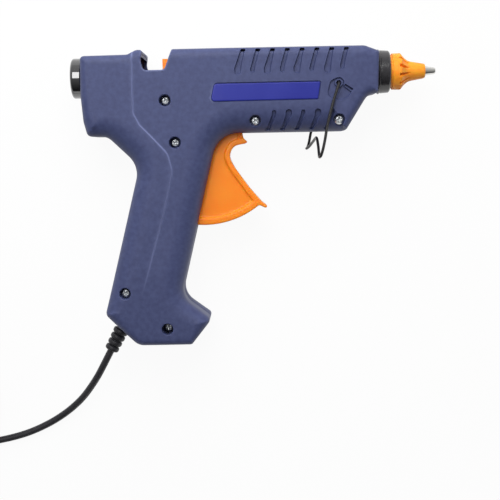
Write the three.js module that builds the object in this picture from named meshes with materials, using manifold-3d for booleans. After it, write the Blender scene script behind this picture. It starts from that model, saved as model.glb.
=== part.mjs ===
// A hot-melt glue gun lying on its side, in millimetres. X runs along the barrel towards the nozzle,
// Y is the gun's own up, and Z points out of its near side. The origin lies on the face that the gun
// rests on, straight below the barrel's axis.
import * as THREE from 'three';
import { mergeVertices } from 'three/addons/utils/BufferGeometryUtils.js';
import Module from 'manifold-3d';

const wasm = await Module();
wasm.setup();

// ---------------------------------------------------------------- driving dimensions
// Gaps
const seatGap = 0.3;          // between two pieces that are fastened or seated
const runGap = 0.4;           // between a moving piece and what guides it

// Housing, across its width
const housingWidth = 39;      // at the barrel and the foot
const noseWidth = 32.4;       // at the nose's face
const gripWidth = 33;         // at the grip's waist
const wall = 2.4;             // moulded wall

// Housing, seen from the side
const rearEnd = -75;          // rear face of the barrel
const rearTop = 12.8;         // top of the rear block
const stepX = -47.5;          // where the top steps up to the barrel
const barrelTop = 15.6;
const barrelBottom = -32;
const windowRear = -40.4;     // stick window, along the top
const windowFront = -24.4;
const windowFloor = 3.7;
const windowLength = 7.2;     // along its floor
const noseEnd = 91;
const noseTop = 12.2;
const noseBottom = -11.4;
const chinX = 72.2;           // where the nose's underside meets the barrel's bottom
const gripFront = 0.8;        // grip's front line, at the barrel's bottom
const gripRear = -42.9;       // grip's rear line, where it leaves the web of the hand
const webDrop = -49.5;
const footFront = -21.5;      // grip's front line, where the foot starts
const footTop = -121.8;
const toeX = -4.7;
const toeY = -135;
const footY = -150;           // flat underside of the foot
const soleFront = -16.8;
const soleRear = -46.3;
const heelX = -64.2;
const heelY = -132.5;
const hipX = -60.4;           // where the rear block's bottom turns into the web

// Stick, guide and inlet
const stickRadius = 5.6;
const stickClearance = 0.5;
const ringRadius = 11.15;     // inlet ring outside the rear face
const ringLength = 5.8;
const guideWall = 2.2;
const guideEnd = -42;         // front end of the guide tube

// Screws that close the housing, as [x, y]
const screwPlaces = [
  [-26.5, -14.5], [-21.7, -37.3], [22, -26.4], [67.4, -26.7], [-50.5, -118.3], [-28, -138.2],
];
const screwRadius = 1.5;
const screwHeadRadius = 2.7;
const screwHeadHeight = 1.9;
const screwLength = 22;
const recessRadius = 3.15;    // counterbore over the head
const recessFloor = 13;       // above the seam
const bossWall = 1.5;

// Trigger
const pivotX = -7.5;
const pivotY = -34.1;
const pivotPinRadius = 2;
const pivotPinLength = 29;
const triggerWidth = 14;
const triggerReach = 49.1;    // pivot to the bottom arc
const triggerRim = 3.4;       // rim round the sunken web
const webThickness = 7;
const armLength = 20;         // pivot to the peg that drives the carriage
const armLean = 13;           // degrees that the arm leans back at rest: half its travel
const pegRadius = 1.8;
const armWidth = 11;
const forkGap = 7.6;          // between the two cheeks of the arm
const slotGap = 0.8;          // each side of the trigger, in the grip's front wall

// Feed carriage and claw
const carriageRear = -28.9;
const carriageLength = 18;
const carriageSize = 19;      // square section round the stick
const clawPivotX = -24;
const clawPivotY = -7.8;
const clawPinRadius = 0.7;
const clawWidth = 5;
const clawPinLength = 13;
const railThickness = 2;
const springRadius = 7.3;     // middle of the return spring's wire
const springWire = 0.5;       // radius
const springTurns = 5;
const springSeat = 7;         // rear face of the rib that the spring pushes on

// Ribs inside each half
const ribThickness = 2;
const ringRibDrop = 13.5;     // the heater rings' ribs reach this far below the axis
const springRibReach = 12;    // above and below the axis
const guideRibReach = 11;
const guideRibPlaces = [-66, -50];
const railSpread = 7;         // the carriage's rails, above and below the axis

// Heater
const chamberRadius = 9.5;
const chamberRear = 22;
const chamberFront = 84;
const heaterRingRadius = 12.5;
const heaterRingWidth = 4;
const heaterRingPlaces = [34, 74];
const heaterLength = 30;
const heaterThickness = 3.4;
const heaterWidth = 13;
const heaterDrop = -13.2;     // below the barrel's axis
const heaterRear = 40;
const heaterWall = 2.2;       // aluminium round the heater
const sleeveRear = 10;
const sleeveWall = 1.9;

// Collar, nozzle and its sleeve
const collarRadius = 11.9;
const collarEnd = 98.7;
const collarNeckRadius = 8.4;
const collarBore = 6.2;
const capRadius = 10;         // nozzle sleeve
const capEnd = 117.6;
const capTipRadius = 3.3;
const nozzleNeckRadius = 4.2;
const nozzleHexRadius = 6.6;
const nozzleTipRadius = 1.1;
const nozzleEnd = 123.5;
const nozzleBore = 0.8;

// Wire stand
const standPivotX = 68.1;
const standPivotY = -6.1;
const standWire = 0.75;       // radius
const standFootX = 56.2;
const standFootY = -47.4;
const standPeakY = -35.9;     // middle of the cross wire
const standSkew = 5;          // the far foot sits this much further back
const standPocket = 1.2;      // depth of the moulded pocket round each leg

// Label plate
const labelRear = -1.8;
const labelFront = 57.6;
const labelTop = -6;
const labelBottom = -15.6;
const labelLean = 2;          // its ends lean back by this much
const labelThickness = 0.8;

// Vent grooves
const grooveDepth = 1.1;
const grooveWidth = 2.2;
const groovePitch = 8.3;
const topGrooveStart = 15.8;
const topGrooveCount = 8;
const topGrooveReach = 15.5;  // from the top edge down
const topGrooveLean = 2.8;
const bottomGrooveStart = 30.5;
const bottomGrooveCount = 5;
const bottomGrooveTop = -21;
const bottomGrooveLean = 3.6;

// Fineness of the housing's outline
const filletStep = 4;         // along each fillet
const edgeStep = 30;          // along each straight edge

// Cord, as a 1.4 m lead with its coil and plug
const cordRadius = 2;
const bootX = -56;            // where the cord crosses the housing's edge
const bootY = -140.2;
const bootLength = 16;
const bootStandoff = 1.6;     // first rib's distance from the housing, along the cord
const bootRadius = 4.1;
const bootTipRadius = 3.7;
const bootNeck = 3.1;         // radius through the housing's wall
const clampX = -49.5;
const clampY = -128;
const clampReach = 6.2;       // from the cord to each of the clamp's screws
const clampScrew = 1.1;       // radius
const coilX = -163;
const coilY = -185;
const coilRadius = 22;        // middle of the turns
const coilSection = 14;       // across the bundle of turns
const tieThickness = 1;
const tieWidth = 5;
const plugX = -188;
const plugY = -146;
const plugLength = 36;
const plugWidth = 35;
const plugThickness = 14;
const pinRadius = 2;
const pinLength = 19;
const pinPitch = 18.6;

// ---------------------------------------------------------------- worked-out sizes
const half = housingWidth / 2;          // from the seam to the side face; also the seam's height
const seam = seatGap / 2;               // each half stops this far from the seam plane
const stickBore = stickRadius + stickClearance;
const taperStart = 4;                   // the side faces are flat up to here, then close in to the nose
const taperSlope = (half - noseWidth / 2) / (noseEnd - taperStart);
const triggerHalf = triggerWidth / 2;
const lean = THREE.MathUtils.degToRad(armLean);
const peg = new THREE.Vector2(pivotX - armLength * Math.sin(lean), pivotY + armLength * Math.cos(lean));
const bossRadius = recessRadius + bossWall;
const ringNeck = stickBore + guideWall + 0.7;   // ring's neck through the rear wall
const lugWidth = forkGap - 2 * runGap;
const clampSeat = cordRadius + 1.2;     // below the cord, from the seam
const bootStart = new THREE.Vector2(bootX, bootY);
const bootAlong = new THREE.Vector2(-0.471, -0.882).normalize();
const bootTilt = Math.atan2(bootAlong.y, bootAlong.x);

// ---------------------------------------------------------------- materials
function plastic(color, roughness = 0.5) {
  return new THREE.MeshStandardMaterial({ color, roughness, metalness: 0 });
}

function metal(color, roughness = 0.35) {
  return new THREE.MeshStandardMaterial({ color, roughness, metalness: 1 });
}

const navy = plastic('#545a7d');
const orange = plastic('#f4903a', 0.4);
const black = plastic('#2b2b2b', 0.35);
const softBlack = plastic('#26262a', 0.6);
const blue = plastic('#2f2f8e', 0.3);
const silicone = plastic('#f9a445', 0.45);
const ceramic = plastic('#e6e0d2', 0.7);
const steel = metal('#b9bcc0');
const aluminium = metal('#c4c6c8', 0.45);
const brass = metal('#c9a24a');

// ---------------------------------------------------------------- solids and booleans
// A closed geometry as a solid that can be cut and joined.
function solid(geometry) {
  const bare = new THREE.BufferGeometry();
  bare.setAttribute('position', geometry.attributes.position);
  if (geometry.index) bare.setIndex(geometry.index);
  const merged = mergeVertices(bare, 1e-4);
  return new wasm.Manifold(new wasm.Mesh({
    numProp: 3,
    vertProperties: new Float32Array(merged.attributes.position.array),
    triVerts: new Uint32Array(merged.index.array),
  }));
}

// The solid's vertices and triangles as a geometry again.
function geometryOf(body) {
  const mesh = body.getMesh();
  const geometry = new THREE.BufferGeometry();
  geometry.setAttribute('position', new THREE.BufferAttribute(new Float32Array(mesh.vertProperties), 3));
  geometry.setIndex(new THREE.BufferAttribute(new Uint32Array(mesh.triVerts), 1));
  return geometry;
}

function cut(body, tools) {
  return tools.reduce((left, tool) => left.subtract(tool), body);
}

function join(bodies) {
  return bodies.reduce((all, body) => all.add(body));
}

// The same geometry on the other side of the XY plane, with its faces still pointing out.
function mirrored(geometry) {
  const copy = geometry.index ? geometry.toNonIndexed() : geometry.clone();
  copy.scale(1, 1, -1);
  const points = copy.attributes.position.array;
  for (let i = 0; i < points.length; i += 9) {
    for (let axis = 0; axis < 3; axis += 1) {
      [points[i + 3 + axis], points[i + 6 + axis]] = [points[i + 6 + axis], points[i + 3 + axis]];
    }
  }
  return copy;
}

// ---------------------------------------------------------------- basic shapes
function shapeOf(points) {
  return new THREE.Shape(points.map(([x, y]) => new THREE.Vector2(x, y)));
}

// A prism of an XY outline between two heights.
function prism(shape, low, high, curveSegments = 8) {
  const geometry = new THREE.ExtrudeGeometry(shape, { depth: high - low, bevelEnabled: false, curveSegments });
  return geometry.translate(0, 0, low);
}

function box([x0, x1], [y0, y1], [z0, z1]) {
  const geometry = new THREE.BoxGeometry(x1 - x0, y1 - y0, z1 - z0);
  return geometry.translate((x0 + x1) / 2, (y0 + y1) / 2, (z0 + z1) / 2);
}

// A disc or post with its axis along Z.
function post(x, y, radius, low, high, sides = 20) {
  const geometry = new THREE.CylinderGeometry(radius, radius, high - low, sides);
  return geometry.rotateX(Math.PI / 2).translate(x, y, (low + high) / 2);
}

// A turned piece about the barrel's axis, from a closed profile of [x, radius] points.
function turned(profile, sides = 20) {
  const points = profile.map(([x, r]) => new THREE.Vector2(r, x));
  const geometry = new THREE.LatheGeometry([...points, points[0]], sides);
  return geometry.rotateZ(-Math.PI / 2);
}

// A round cutter along the barrel's axis.
function bore(start, end, radius, sides = 20) {
  return turned([[start, 0], [start, radius], [end, radius], [end, 0]], sides);
}

// A wire or tube along a smooth curve through the given points.
function tube(points, radius, steps, sides = 8) {
  const path = new THREE.CatmullRomCurve3(points.map((p) => new THREE.Vector3(...p)), false, 'centripetal');
  const section = new THREE.Shape();
  section.absarc(0, 0, radius, 0, 2 * Math.PI);
  return new THREE.ExtrudeGeometry(section, { extrudePath: path, steps, curveSegments: sides / 2 });
}

// ---------------------------------------------------------------- housing outline
// Corners of the side view in order, as [x, y, fillet radius, rounding of the edge to the next corner].
const outline = [
  [rearEnd + 0.4, rearTop, 2, 4], [stepX - 2, rearTop + 0.3, 5, 4], [stepX + 3, barrelTop, 4, 4.5],
  [noseEnd - 6.3, barrelTop + 0.1, 3, 4.5], [noseEnd + 0.2, noseTop, 1, 1.2],
  [noseEnd - 1.1, noseBottom, 0.8, 4.5], [noseEnd - 6.4, noseBottom - 1.4, 14, 4.5],
  [chinX, barrelBottom, 3, 10], [gripFront, barrelBottom + 0.2, 15, 9],
  [footFront, footTop, 11, 4], [toeX, toeY, 2.4, 3], [soleFront, footY, 2, 2],
  [soleRear, footY, 8, 3], [heelX, heelY, 3.5, 7], [gripRear, webDrop, 13.5, 7],
  [hipX, barrelBottom - 0.4, 8, 7], [rearEnd + 3.1, barrelBottom - 0.1, 1.5, 3.5],
  [rearEnd + 1.1, barrelBottom + 7.5, 6, 3.5], [rearEnd, -rearTop + 2.6, 10, 3.5],
];

// How far the side face stands from the seam: flat at the rear and foot, closing in to the nose and waist.
function halfWidthAt(x, y) {
  const nose = taperSlope * Math.max(0, x - taperStart);
  const down = THREE.MathUtils.clamp((y - (barrelBottom - 2)) / (heelY - barrelBottom + 2), 0, 1);
  return half - nose - (half - gripWidth / 2) * Math.sin(Math.PI * down) ** 2;
}

// The outline moved inwards, each edge by its own amount, with the corners filleted again. Every inset
// gives a loop of the same number of points, so that loops join up into a wall. A bow bends the straight
// edges outwards by a hair, so that a triangulator keeps the points along them.
function insetLoop(corners, insets, bow = 0) {
  const count = corners.length;
  const origin = new THREE.Vector2();
  const edges = corners.map(([x, y], i) => {
    const [x1, y1] = corners[(i + 1) % count];
    const length = Math.hypot(x1 - x, y1 - y);
    const along = new THREE.Vector2(x1 - x, y1 - y).divideScalar(length);
    const inward = new THREE.Vector2(along.y, -along.x);
    return { start: new THREE.Vector2(x, y).addScaledVector(inward, insets[i]), along, inward, length };
  });
  const fillets = edges.map((edge, i) => {
    const before = edges[(i + count - 1) % count];
    const turn = Math.sign(edge.along.cross(before.along));
    const angle = before.along.angleTo(edge.along);
    const reach = edge.start.clone().sub(before.start).cross(edge.along) / before.along.cross(edge.along);
    const tip = before.start.clone().addScaledVector(before.along, reach);
    const inset = (insets[i] + insets[(i + count - 1) % count]) / 2;
    const radius = Math.max(0.05, corners[i][2] - turn * inset);
    const first = tip.addScaledVector(before.along, -radius * Math.tan(angle / 2));
    const centre = first.clone().addScaledVector(before.inward, turn * radius);
    const steps = Math.max(1, Math.round(corners[i][2] * angle / filletStep));
    const spoke = first.clone().sub(centre);
    return Array.from({ length: steps + 1 }, (_, k) => (
      spoke.clone().rotateAround(origin, -turn * angle * k / steps).add(centre)));
  });
  return fillets.flatMap((fillet, i) => {
    const last = fillet[fillet.length - 1];
    const next = fillets[(i + 1) % count][0];
    const spans = Math.max(1, Math.round(edges[i].length / edgeStep));
    const between = Array.from({ length: spans - 1 }, (_, k) => {
      const share = (k + 1) / spans;
      return last.clone().lerp(next, share).addScaledVector(edges[i].inward, -4 * bow * share * (1 - share));
    });
    return [...fillet, ...between];
  });
}

// One half of a rounded case, standing on the seam: loops at rising levels, closed at both ends.
function caseHalf({ inset, low, height, rises }) {
  const rounds = outline.map((corner) => Math.max(0.6, corner[3] - inset));
  const largest = Math.max(...rounds);
  const levels = [low, ...rises.map((rise) => height - largest * (1 - rise))];
  const insetsAt = (level) => rounds.map((round) => {
    const rise = Math.min(round, Math.max(0, level - (height - round)));
    return inset + round - Math.sqrt(round ** 2 - rise ** 2);
  });
  const loops = levels.map((level) => insetLoop(outline, insetsAt(level)));
  const positions = loops.flatMap((loop, k) => loop.flatMap((p) => {
    const share = Math.max(0, levels[k]) / height;
    return [p.x, p.y, share > 0 ? share * (halfWidthAt(p.x, p.y) - inset) : levels[k]];
  }));
  const size = loops[0].length;
  const top = size * (levels.length - 1);
  const cap = (level) => THREE.ShapeUtils.triangulateShape(insetLoop(outline, insetsAt(level), 0.02), []);
  const indices = [
    ...cap(low).flatMap(([a, b, c]) => [a, c, b]),
    ...cap(height).flatMap(([a, b, c]) => [top + a, top + b, top + c]),
  ];
  for (let k = 0; k + 1 < levels.length; k += 1) {
    for (let i = 0; i < size; i += 1) {
      const a = k * size + i;
      const b = k * size + (i + 1) % size;
      indices.push(a, a + size, b, b, a + size, b + size);
    }
  }
  const geometry = new THREE.BufferGeometry();
  geometry.setAttribute('position', new THREE.Float32BufferAttribute(positions, 3));
  geometry.setIndex(indices);
  return geometry;
}

// The flat of the side face, which the gun rests on: all of it that is level, inside the rounded edges.
function restingFlat() {
  const [rear, low, high] = [rearEnd + 5, barrelBottom + 8, barrelTop - 4.8];
  const flat = shapeOf([
    [rear, rearTop - 4.8], [rear, low], [hipX, low], [gripRear, barrelBottom - 1.4],
    [gripFront - 12, barrelBottom - 1.4], [taperStart, barrelBottom + 11], [taperStart, high],
    [stepX + 4, high], [stepX, rearTop - 4.8],
  ]);
  return solid(prism(flat, half - wall / 2, half));
}

// ---------------------------------------------------------------- cuts in the side faces
// A cutting tool that sinks into the tapering side face by depth, whatever the taper.
function faceTool(shape, depth) {
  const geometry = prism(shape, -depth, 6, 6).translate(-taperStart, 0, 0);
  return geometry.rotateY(Math.atan(taperSlope)).translate(taperStart, 0, half);
}

function labelShape(grow) {
  return shapeOf([
    [labelRear - grow, labelBottom - grow], [labelFront - labelLean + grow, labelBottom - grow],
    [labelFront + grow, labelTop + grow], [labelRear + labelLean - grow, labelTop + grow],
  ]);
}

function grooveShape(x0, y0, x1, y1) {
  const w = grooveWidth / 2;
  return shapeOf([[x0 - w, y0], [x0 + w, y0], [x1 + w, y1], [x1 - w, y1]]);
}

function ventTools() {
  const tools = [];
  for (let i = 0; i < topGrooveCount; i += 1) {
    const x = topGrooveStart + i * groovePitch;
    const low = barrelTop - topGrooveReach + (i > topGrooveCount - 2 ? topGrooveReach / 3 : 0);
    tools.push(grooveShape(x - topGrooveLean, low, x, barrelTop + 1));
  }
  for (let i = 0; i < bottomGrooveCount; i += 1) {
    const x = bottomGrooveStart + i * groovePitch;
    tools.push(grooveShape(x - bottomGrooveLean / 2, barrelBottom - 1, x + bottomGrooveLean / 2, bottomGrooveTop));
  }
  return tools.map((shape) => solid(faceTool(shape, grooveDepth)));
}

// The pocket that lets each leg of the wire stand turn close to the nose.
function standPocketTool() {
  const pocket = new THREE.Shape();
  pocket.absarc(standPivotX, standPivotY, 9.2, -2.4, 0.15, false);
  pocket.lineTo(standPivotX, standPivotY + 4.5);
  return solid(faceTool(pocket, standPocket));
}

// ---------------------------------------------------------------- trigger's own places
function fromPivot(dx, dy) {
  return new THREE.Vector2(pivotX + dx, pivotY + dy);
}

// A point beyond the trigger's bottom arc by a little, at an angle in degrees about the pivot.
function offArc(extra, degrees) {
  const angle = THREE.MathUtils.degToRad(degrees);
  return fromPivot((triggerReach + extra) * Math.cos(angle), (triggerReach + extra) * Math.sin(angle));
}

// ---------------------------------------------------------------- housing halves
function screwPost(x, y, near) {
  const radius = near ? bossRadius : bossRadius - 0.8;
  return solid(post(x, y, radius, seam, half, 12));
}

// Plates inside the housing with a round seat on the barrel's axis.
function seatRib(x, thickness, low, high, seatRadius) {
  const plate = solid(box([x - thickness / 2, x + thickness / 2], [low, high], [seam, half]));
  return plate.subtract(solid(bore(x - thickness, x + thickness, seatRadius, 16)));
}

function ribs() {
  const rail = half - carriageSize / 2 - runGap;
  const railEnds = [carriageRear - 5, carriageRear + carriageLength + 9];
  return [
    ...heaterRingPlaces.map((x) => (
      seatRib(x, heaterRingWidth - 1, -ringRibDrop, barrelTop, heaterRingRadius + seatGap))),
    seatRib(springSeat + ribThickness / 2, ribThickness, -springRibReach, springRibReach, stickBore + seatGap),
    ...guideRibPlaces.map((x) => (
      seatRib(x, ribThickness, -guideRibReach, guideRibReach, stickBore + guideWall + seatGap))),
    ...[-railSpread, railSpread].map((y) => (
      solid(box(railEnds, [y - railThickness / 2, y + railThickness / 2], [half - rail, half])))),
  ];
}

// The slot in the grip's front that the trigger comes out of.
function triggerSlot() {
  const high = triggerHalf + slotGap;
  const low = -triggerReach - 7;
  const reach = new THREE.Shape([
    fromPivot(-8.5, 6.6), fromPivot(26.7, 6.6), fromPivot(26.7, -26), fromPivot(41.5, low), fromPivot(-8.5, low),
  ]);
  const disc = post(pivotX, pivotY, triggerReach + runGap + seatGap, -1, high, 40);
  return solid(prism(reach, -1, high)).intersect(solid(disc));
}

// The window over the stick, cut down through the top of both halves.
function stickWindow() {
  const floorFront = windowRear + 3 + windowLength;
  const notch = shapeOf([[windowRear, barrelTop + 3], [windowRear, barrelTop], [windowRear + 3, windowFloor + 1],
    [windowRear + 4, windowFloor], [floorFront - 1.6, windowFloor], [floorFront + 0.6, windowFloor + 2],
    [windowFront, barrelTop], [windowFront, barrelTop + 3]]);
  return solid(prism(notch, -1, half + 3));
}

function housingHalf(near) {
  const rounded = solid(caseHalf({ inset: 0, low: seam, height: half, rises: [0, 0.38, 0.71, 0.92, 1] }));
  const outer = rounded.add(restingFlat());
  const inner = solid(caseHalf({ inset: wall, low: -1, height: half - wall, rises: [0, 0.6, 1] }));
  const pivotBore = pivotPinRadius + seatGap;
  const pivotBoss = solid(post(pivotX, pivotY, pivotBore + wall, triggerHalf + runGap, half, 16));
  const clampBosses = near ? [] : clampScrewPlaces().map(([x, y]) => (
    solid(post(x, y, clampScrew + bossWall, clampSeat, half, 10))));
  const standFace = halfWidthAt(standPivotX, standPivotY);
  const fittings = join([
    ...screwPlaces.map(([x, y]) => screwPost(x, y, near)), ...ribs(), pivotBoss, ...clampBosses,
  ]).intersect(outer);
  const holes = [
    triggerSlot(), stickWindow(), ...ventTools(), standPocketTool(),
    solid(bore(rearEnd - 3, rearEnd + 4, ringNeck + seatGap)),
    solid(bore(noseEnd - 5, noseEnd + 3, collarNeckRadius + seatGap)),
    solid(bootHole()),
    solid(post(pivotX, pivotY, pivotBore, -1, pivotPinLength / 2 + seatGap, 16)),
    solid(post(standPivotX, standPivotY, standWire + seatGap, standFace - wall - 1, half + 3, 8)),
  ];
  screwPlaces.forEach(([x, y]) => {
    holes.push(solid(post(x, y, screwRadius + seatGap, -1, near ? recessFloor + 1 : 10, 10)));
    if (near) holes.push(solid(post(x, y, recessRadius, recessFloor, half + 3, 12)));
  });
  if (near) holes.push(solid(faceTool(labelShape(seatGap), labelThickness)));
  if (!near) {
    clampScrewPlaces().forEach(([x, y]) => {
      holes.push(solid(post(x, y, clampScrew + seatGap, 0, clampSeat + 6, 12)));
    });
  }
  const body = cut(outer.subtract(inner).add(fittings), holes);
  const geometry = near ? geometryOf(body) : mirrored(geometryOf(body));
  return geometry.translate(0, 0, half);
}

// ---------------------------------------------------------------- inlet and guide
function inletRing() {
  const rear = rearEnd - ringLength;
  return turned([
    [rear + 0.6, stickBore + 2.6], [rear, stickBore + 3.4], [rear + 0.2, ringRadius - 0.8],
    [rear + 1.2, ringRadius],
    [rearEnd - seatGap, ringRadius], [rearEnd - seatGap, ringNeck], [rearEnd + 4, ringNeck],
    [rearEnd + 4, stickBore], [rear + 3, stickBore],
  ], 24);
}

function stickGuide() {
  const start = rearEnd + 4 + seatGap;
  return turned([
    [start, stickBore], [start, ringNeck], [start + 2, ringNeck], [start + 2, stickBore + guideWall],
    [guideEnd, stickBore + guideWall], [guideEnd, stickBore],
  ]);
}

// ---------------------------------------------------------------- feed
// A square slide round the stick, with a slotted lug below for the trigger's peg.
function feedCarriage() {
  const front = carriageRear + carriageLength;
  const s = carriageSize / 2;
  const block = solid(box([carriageRear, front], [-s, s], [-s, s]));
  const lug = solid(box([peg.x - 4, peg.x + 4], [peg.y - 4, -s + 1], [-lugWidth / 2, lugWidth / 2]));
  const stickWay = bore(carriageRear - 1, front + 1, stickBore, 32);
  const slot = box([peg.x - pegRadius - seatGap, peg.x + pegRadius + seatGap],
    [peg.y - pegRadius - 0.6, peg.y + pegRadius + 1.1], [-lugWidth, lugWidth]);
  const pocketHalf = clawWidth / 2 + runGap;
  const pocket = box([clawPivotX - 3.2, clawPivotX + 7.6], [-s - 1, 0], [-pocketHalf, pocketHalf]);
  const pinHole = post(clawPivotX, clawPivotY, clawPinRadius + seatGap, -clawPinLength / 2, clawPinLength / 2, 12);
  return cut(block.add(lug), [stickWay, slot, pocket, pinHole].map(solid));
}

// A compression spring round the stick, between the carriage and its rib.
function returnSpring() {
  const rear = carriageRear + carriageLength + seatGap + springWire;
  const front = springSeat - seatGap - springWire;
  const stations = springTurns * 10;
  const helix = Array.from({ length: stations + 1 }, (_, i) => {
    const angle = 2 * Math.PI * springTurns * i / stations;
    return [rear + (front - rear) * i / stations, springRadius * Math.cos(angle), springRadius * Math.sin(angle)];
  });
  return tube(helix, springWire, stations, 4);
}

// A small lever that bites the stick as the carriage moves forward.
function feedClaw() {
  const arm = shapeOf([
    [clawPivotX - 1, clawPivotY - 1.1], [clawPivotX + 5.6, clawPivotY - 0.6], [clawPivotX + 5.8, clawPivotY + 1.6],
    [clawPivotX + 4.6, clawPivotY + 0.9], [clawPivotX + 4, clawPivotY + 1.5], [clawPivotX + 3, clawPivotY + 0.9],
    [clawPivotX - 1, clawPivotY + 1.1],
  ]);
  const hub = solid(post(clawPivotX, clawPivotY, 1.5, -clawWidth / 2, clawWidth / 2, 16));
  const eye = solid(post(clawPivotX, clawPivotY, clawPinRadius + seatGap, -clawWidth, clawWidth, 12));
  return hub.add(solid(prism(arm, -clawWidth / 2, clawWidth / 2))).subtract(eye);
}

// ---------------------------------------------------------------- trigger
// The blade's outline, with all its points measured from the pivot.
function triggerBlade() {
  const blade = new THREE.Shape();
  const [arcStart, arcEnd] = [-97.7, -51];
  const points = [fromPivot(-5.5, -0.9), offArc(0, arcStart)];
  blade.moveTo(points[0].x, points[0].y);
  blade.lineTo(points[1].x, points[1].y);
  blade.absarc(pivotX, pivotY, triggerReach, ...[arcStart, arcEnd].map(THREE.MathUtils.degToRad), false);
  [offArc(3.6, -49.7), offArc(3.6, -47.9)].forEach((p) => blade.lineTo(p.x, p.y));
  blade.splineThru([
    offArc(-10.2, -47.9), fromPivot(16.7, -15.8), fromPivot(14.7, -10.5), fromPivot(17.1, -5.4),
    fromPivot(23.7, -3.6),
  ]);
  [fromPivot(24.5, -2.7), fromPivot(22.3, -0.9), fromPivot(21.5, 4.5), fromPivot(3.5, 5.5)].forEach((p) => (
    blade.lineTo(p.x, p.y)));
  return blade;
}

// The sunken part of the blade's side, inside its rim.
function triggerPanel() {
  const panel = new THREE.Shape();
  const [arcStart, arcEnd] = [-93.6, -51.1];
  const points = [fromPivot(-2.3, -7.9), offArc(-triggerRim, arcStart)];
  panel.moveTo(points[0].x, points[0].y);
  panel.lineTo(points[1].x, points[1].y);
  panel.absarc(
    pivotX, pivotY, triggerReach - triggerRim, ...[arcStart, arcEnd].map(THREE.MathUtils.degToRad), false);
  panel.splineThru([offArc(-14.1, -52.9), fromPivot(13.8, -16.7), fromPivot(12.3, -10.9), fromPivot(12.7, -6.9)]);
  return panel;
}

// The blade with its hub, and a forked arm whose cross peg drives the carriage.
function trigger() {
  const h = triggerHalf;
  const across = new THREE.Vector2(Math.cos(lean), Math.sin(lean));
  const side = (point, reach) => [point.x + across.x * reach, point.y + across.y * reach];
  const pivot = fromPivot(0, 0);
  const tipRadius = pegRadius + 1.6;
  const arm = shapeOf([
    side(pivot, -armWidth / 2), side(pivot, armWidth / 2), side(peg, tipRadius), side(peg, -tipRadius),
  ]);
  const hub = solid(post(pivotX, pivotY, armWidth / 2 + 0.5, -h, h, 28));
  const tip = solid(post(peg.x, peg.y, tipRadius, -h, h, 20));
  const body = join([solid(prism(triggerBlade(), -h, h, 6)), hub, tip, solid(prism(arm, -h, h))]);
  const fork = box([peg.x - 4, pivotX + 9], [pivotY + 6.6, peg.y + 6], [-forkGap / 2, forkGap / 2]);
  const crossPeg = post(peg.x, peg.y, pegRadius, -h + 0.5, h - 0.5, 16);
  const eye = post(pivotX, pivotY, pivotPinRadius + seatGap, -h - 1, h + 1, 20);
  const web = webThickness / 2;
  const sunk = [prism(triggerPanel(), web, h + 1, 6), prism(triggerPanel(), -h - 1, -web, 6)];
  return cut(body, [fork, ...sunk].map(solid)).add(solid(crossPeg)).subtract(solid(eye));
}

// ---------------------------------------------------------------- heater and nozzle
function meltChamber() {
  const spigot = stickBore + 1.4;
  const body = solid(turned([
    [chamberRear, stickBore - 0.2], [chamberRear, spigot], [chamberRear + 8, spigot],
    [chamberRear + 8, chamberRadius],
    [chamberFront, chamberRadius], [chamberFront, nozzleNeckRadius + seatGap],
    [chamberFront - 9, nozzleNeckRadius + seatGap], [chamberFront - 10, 2.4], [chamberFront - 22, 3.6],
    [chamberFront - 34, stickBore - 0.2],
  ], 20));
  const bedTop = heaterDrop + heaterThickness / 2 + seatGap;
  const bedBottom = heaterDrop - heaterThickness / 2 - seatGap;
  const reach = heaterWidth / 2 + seatGap;
  const bed = box([heaterRear - 1, heaterRear + heaterLength + 1], [bedBottom - heaterWall, -chamberRadius + 1.6],
    [-reach - heaterWall, reach + heaterWall]);
  const pocket = box([heaterRear - 3, heaterRear + heaterLength + seatGap], [bedBottom, bedTop], [-reach, reach]);
  return body.add(solid(bed)).subtract(solid(pocket));
}

function nozzle() {
  const neckEnd = collarEnd + 1;
  const hex = solid(new THREE.CylinderGeometry(nozzleHexRadius, nozzleHexRadius, 4, 6)
    .rotateZ(Math.PI / 2).translate(neckEnd + 2, 0, 0));
  const body = solid(turned([
    [chamberFront - 8, nozzleBore], [chamberFront - 8, nozzleNeckRadius], [neckEnd + 5, nozzleNeckRadius],
    [neckEnd + 8, 3], [capEnd, 2.3], [nozzleEnd - 0.4, nozzleTipRadius], [nozzleEnd, nozzleTipRadius - 0.2],
    [nozzleEnd, nozzleBore],
  ], 16));
  return body.add(hex.subtract(solid(bore(neckEnd - 3, neckEnd + 8, nozzleBore, 16))));
}

// The soft sleeve over the nozzle: a fluted base and a hollow cone.
function nozzleSleeve() {
  const base = collarEnd + 0.6;
  return turned([
    [base, nozzleHexRadius + seatGap], [base, capRadius - 0.4], [base + 0.6, capRadius],
    [base + 5, capRadius - 0.2], [base + 6.8, 7.6], [base + 8.6, 5.6], [base + 12, 4.8],
    [capEnd - 0.6, capTipRadius + 0.4], [capEnd, capTipRadius],
    [capEnd, 2.4 + seatGap], [base + 9, 3 + seatGap + 0.1], [base + 6.6, nozzleNeckRadius + seatGap],
    [base + 5.2, nozzleNeckRadius + seatGap], [base + 5.2, nozzleHexRadius + seatGap],
  ], 18);
}

function frontCollar() {
  const neckStart = noseEnd - 4.4;
  return turned([
    [neckStart, collarBore], [neckStart, collarNeckRadius], [noseEnd + seatGap + 0.2, collarNeckRadius],
    [noseEnd + seatGap + 0.2, collarRadius], [collarEnd - 1.2, collarRadius - 0.3], [collarEnd, collarRadius - 1],
    [collarEnd, nozzleNeckRadius + 3], [collarEnd - 2, collarBore],
  ], 24);
}

function heaterRing(x) {
  const w = heaterRingWidth / 2;
  const inside = chamberRadius + seatGap;
  return turned([[x - w, inside], [x - w, heaterRingRadius], [x + w, heaterRingRadius], [x + w, inside]]);
}

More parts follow.
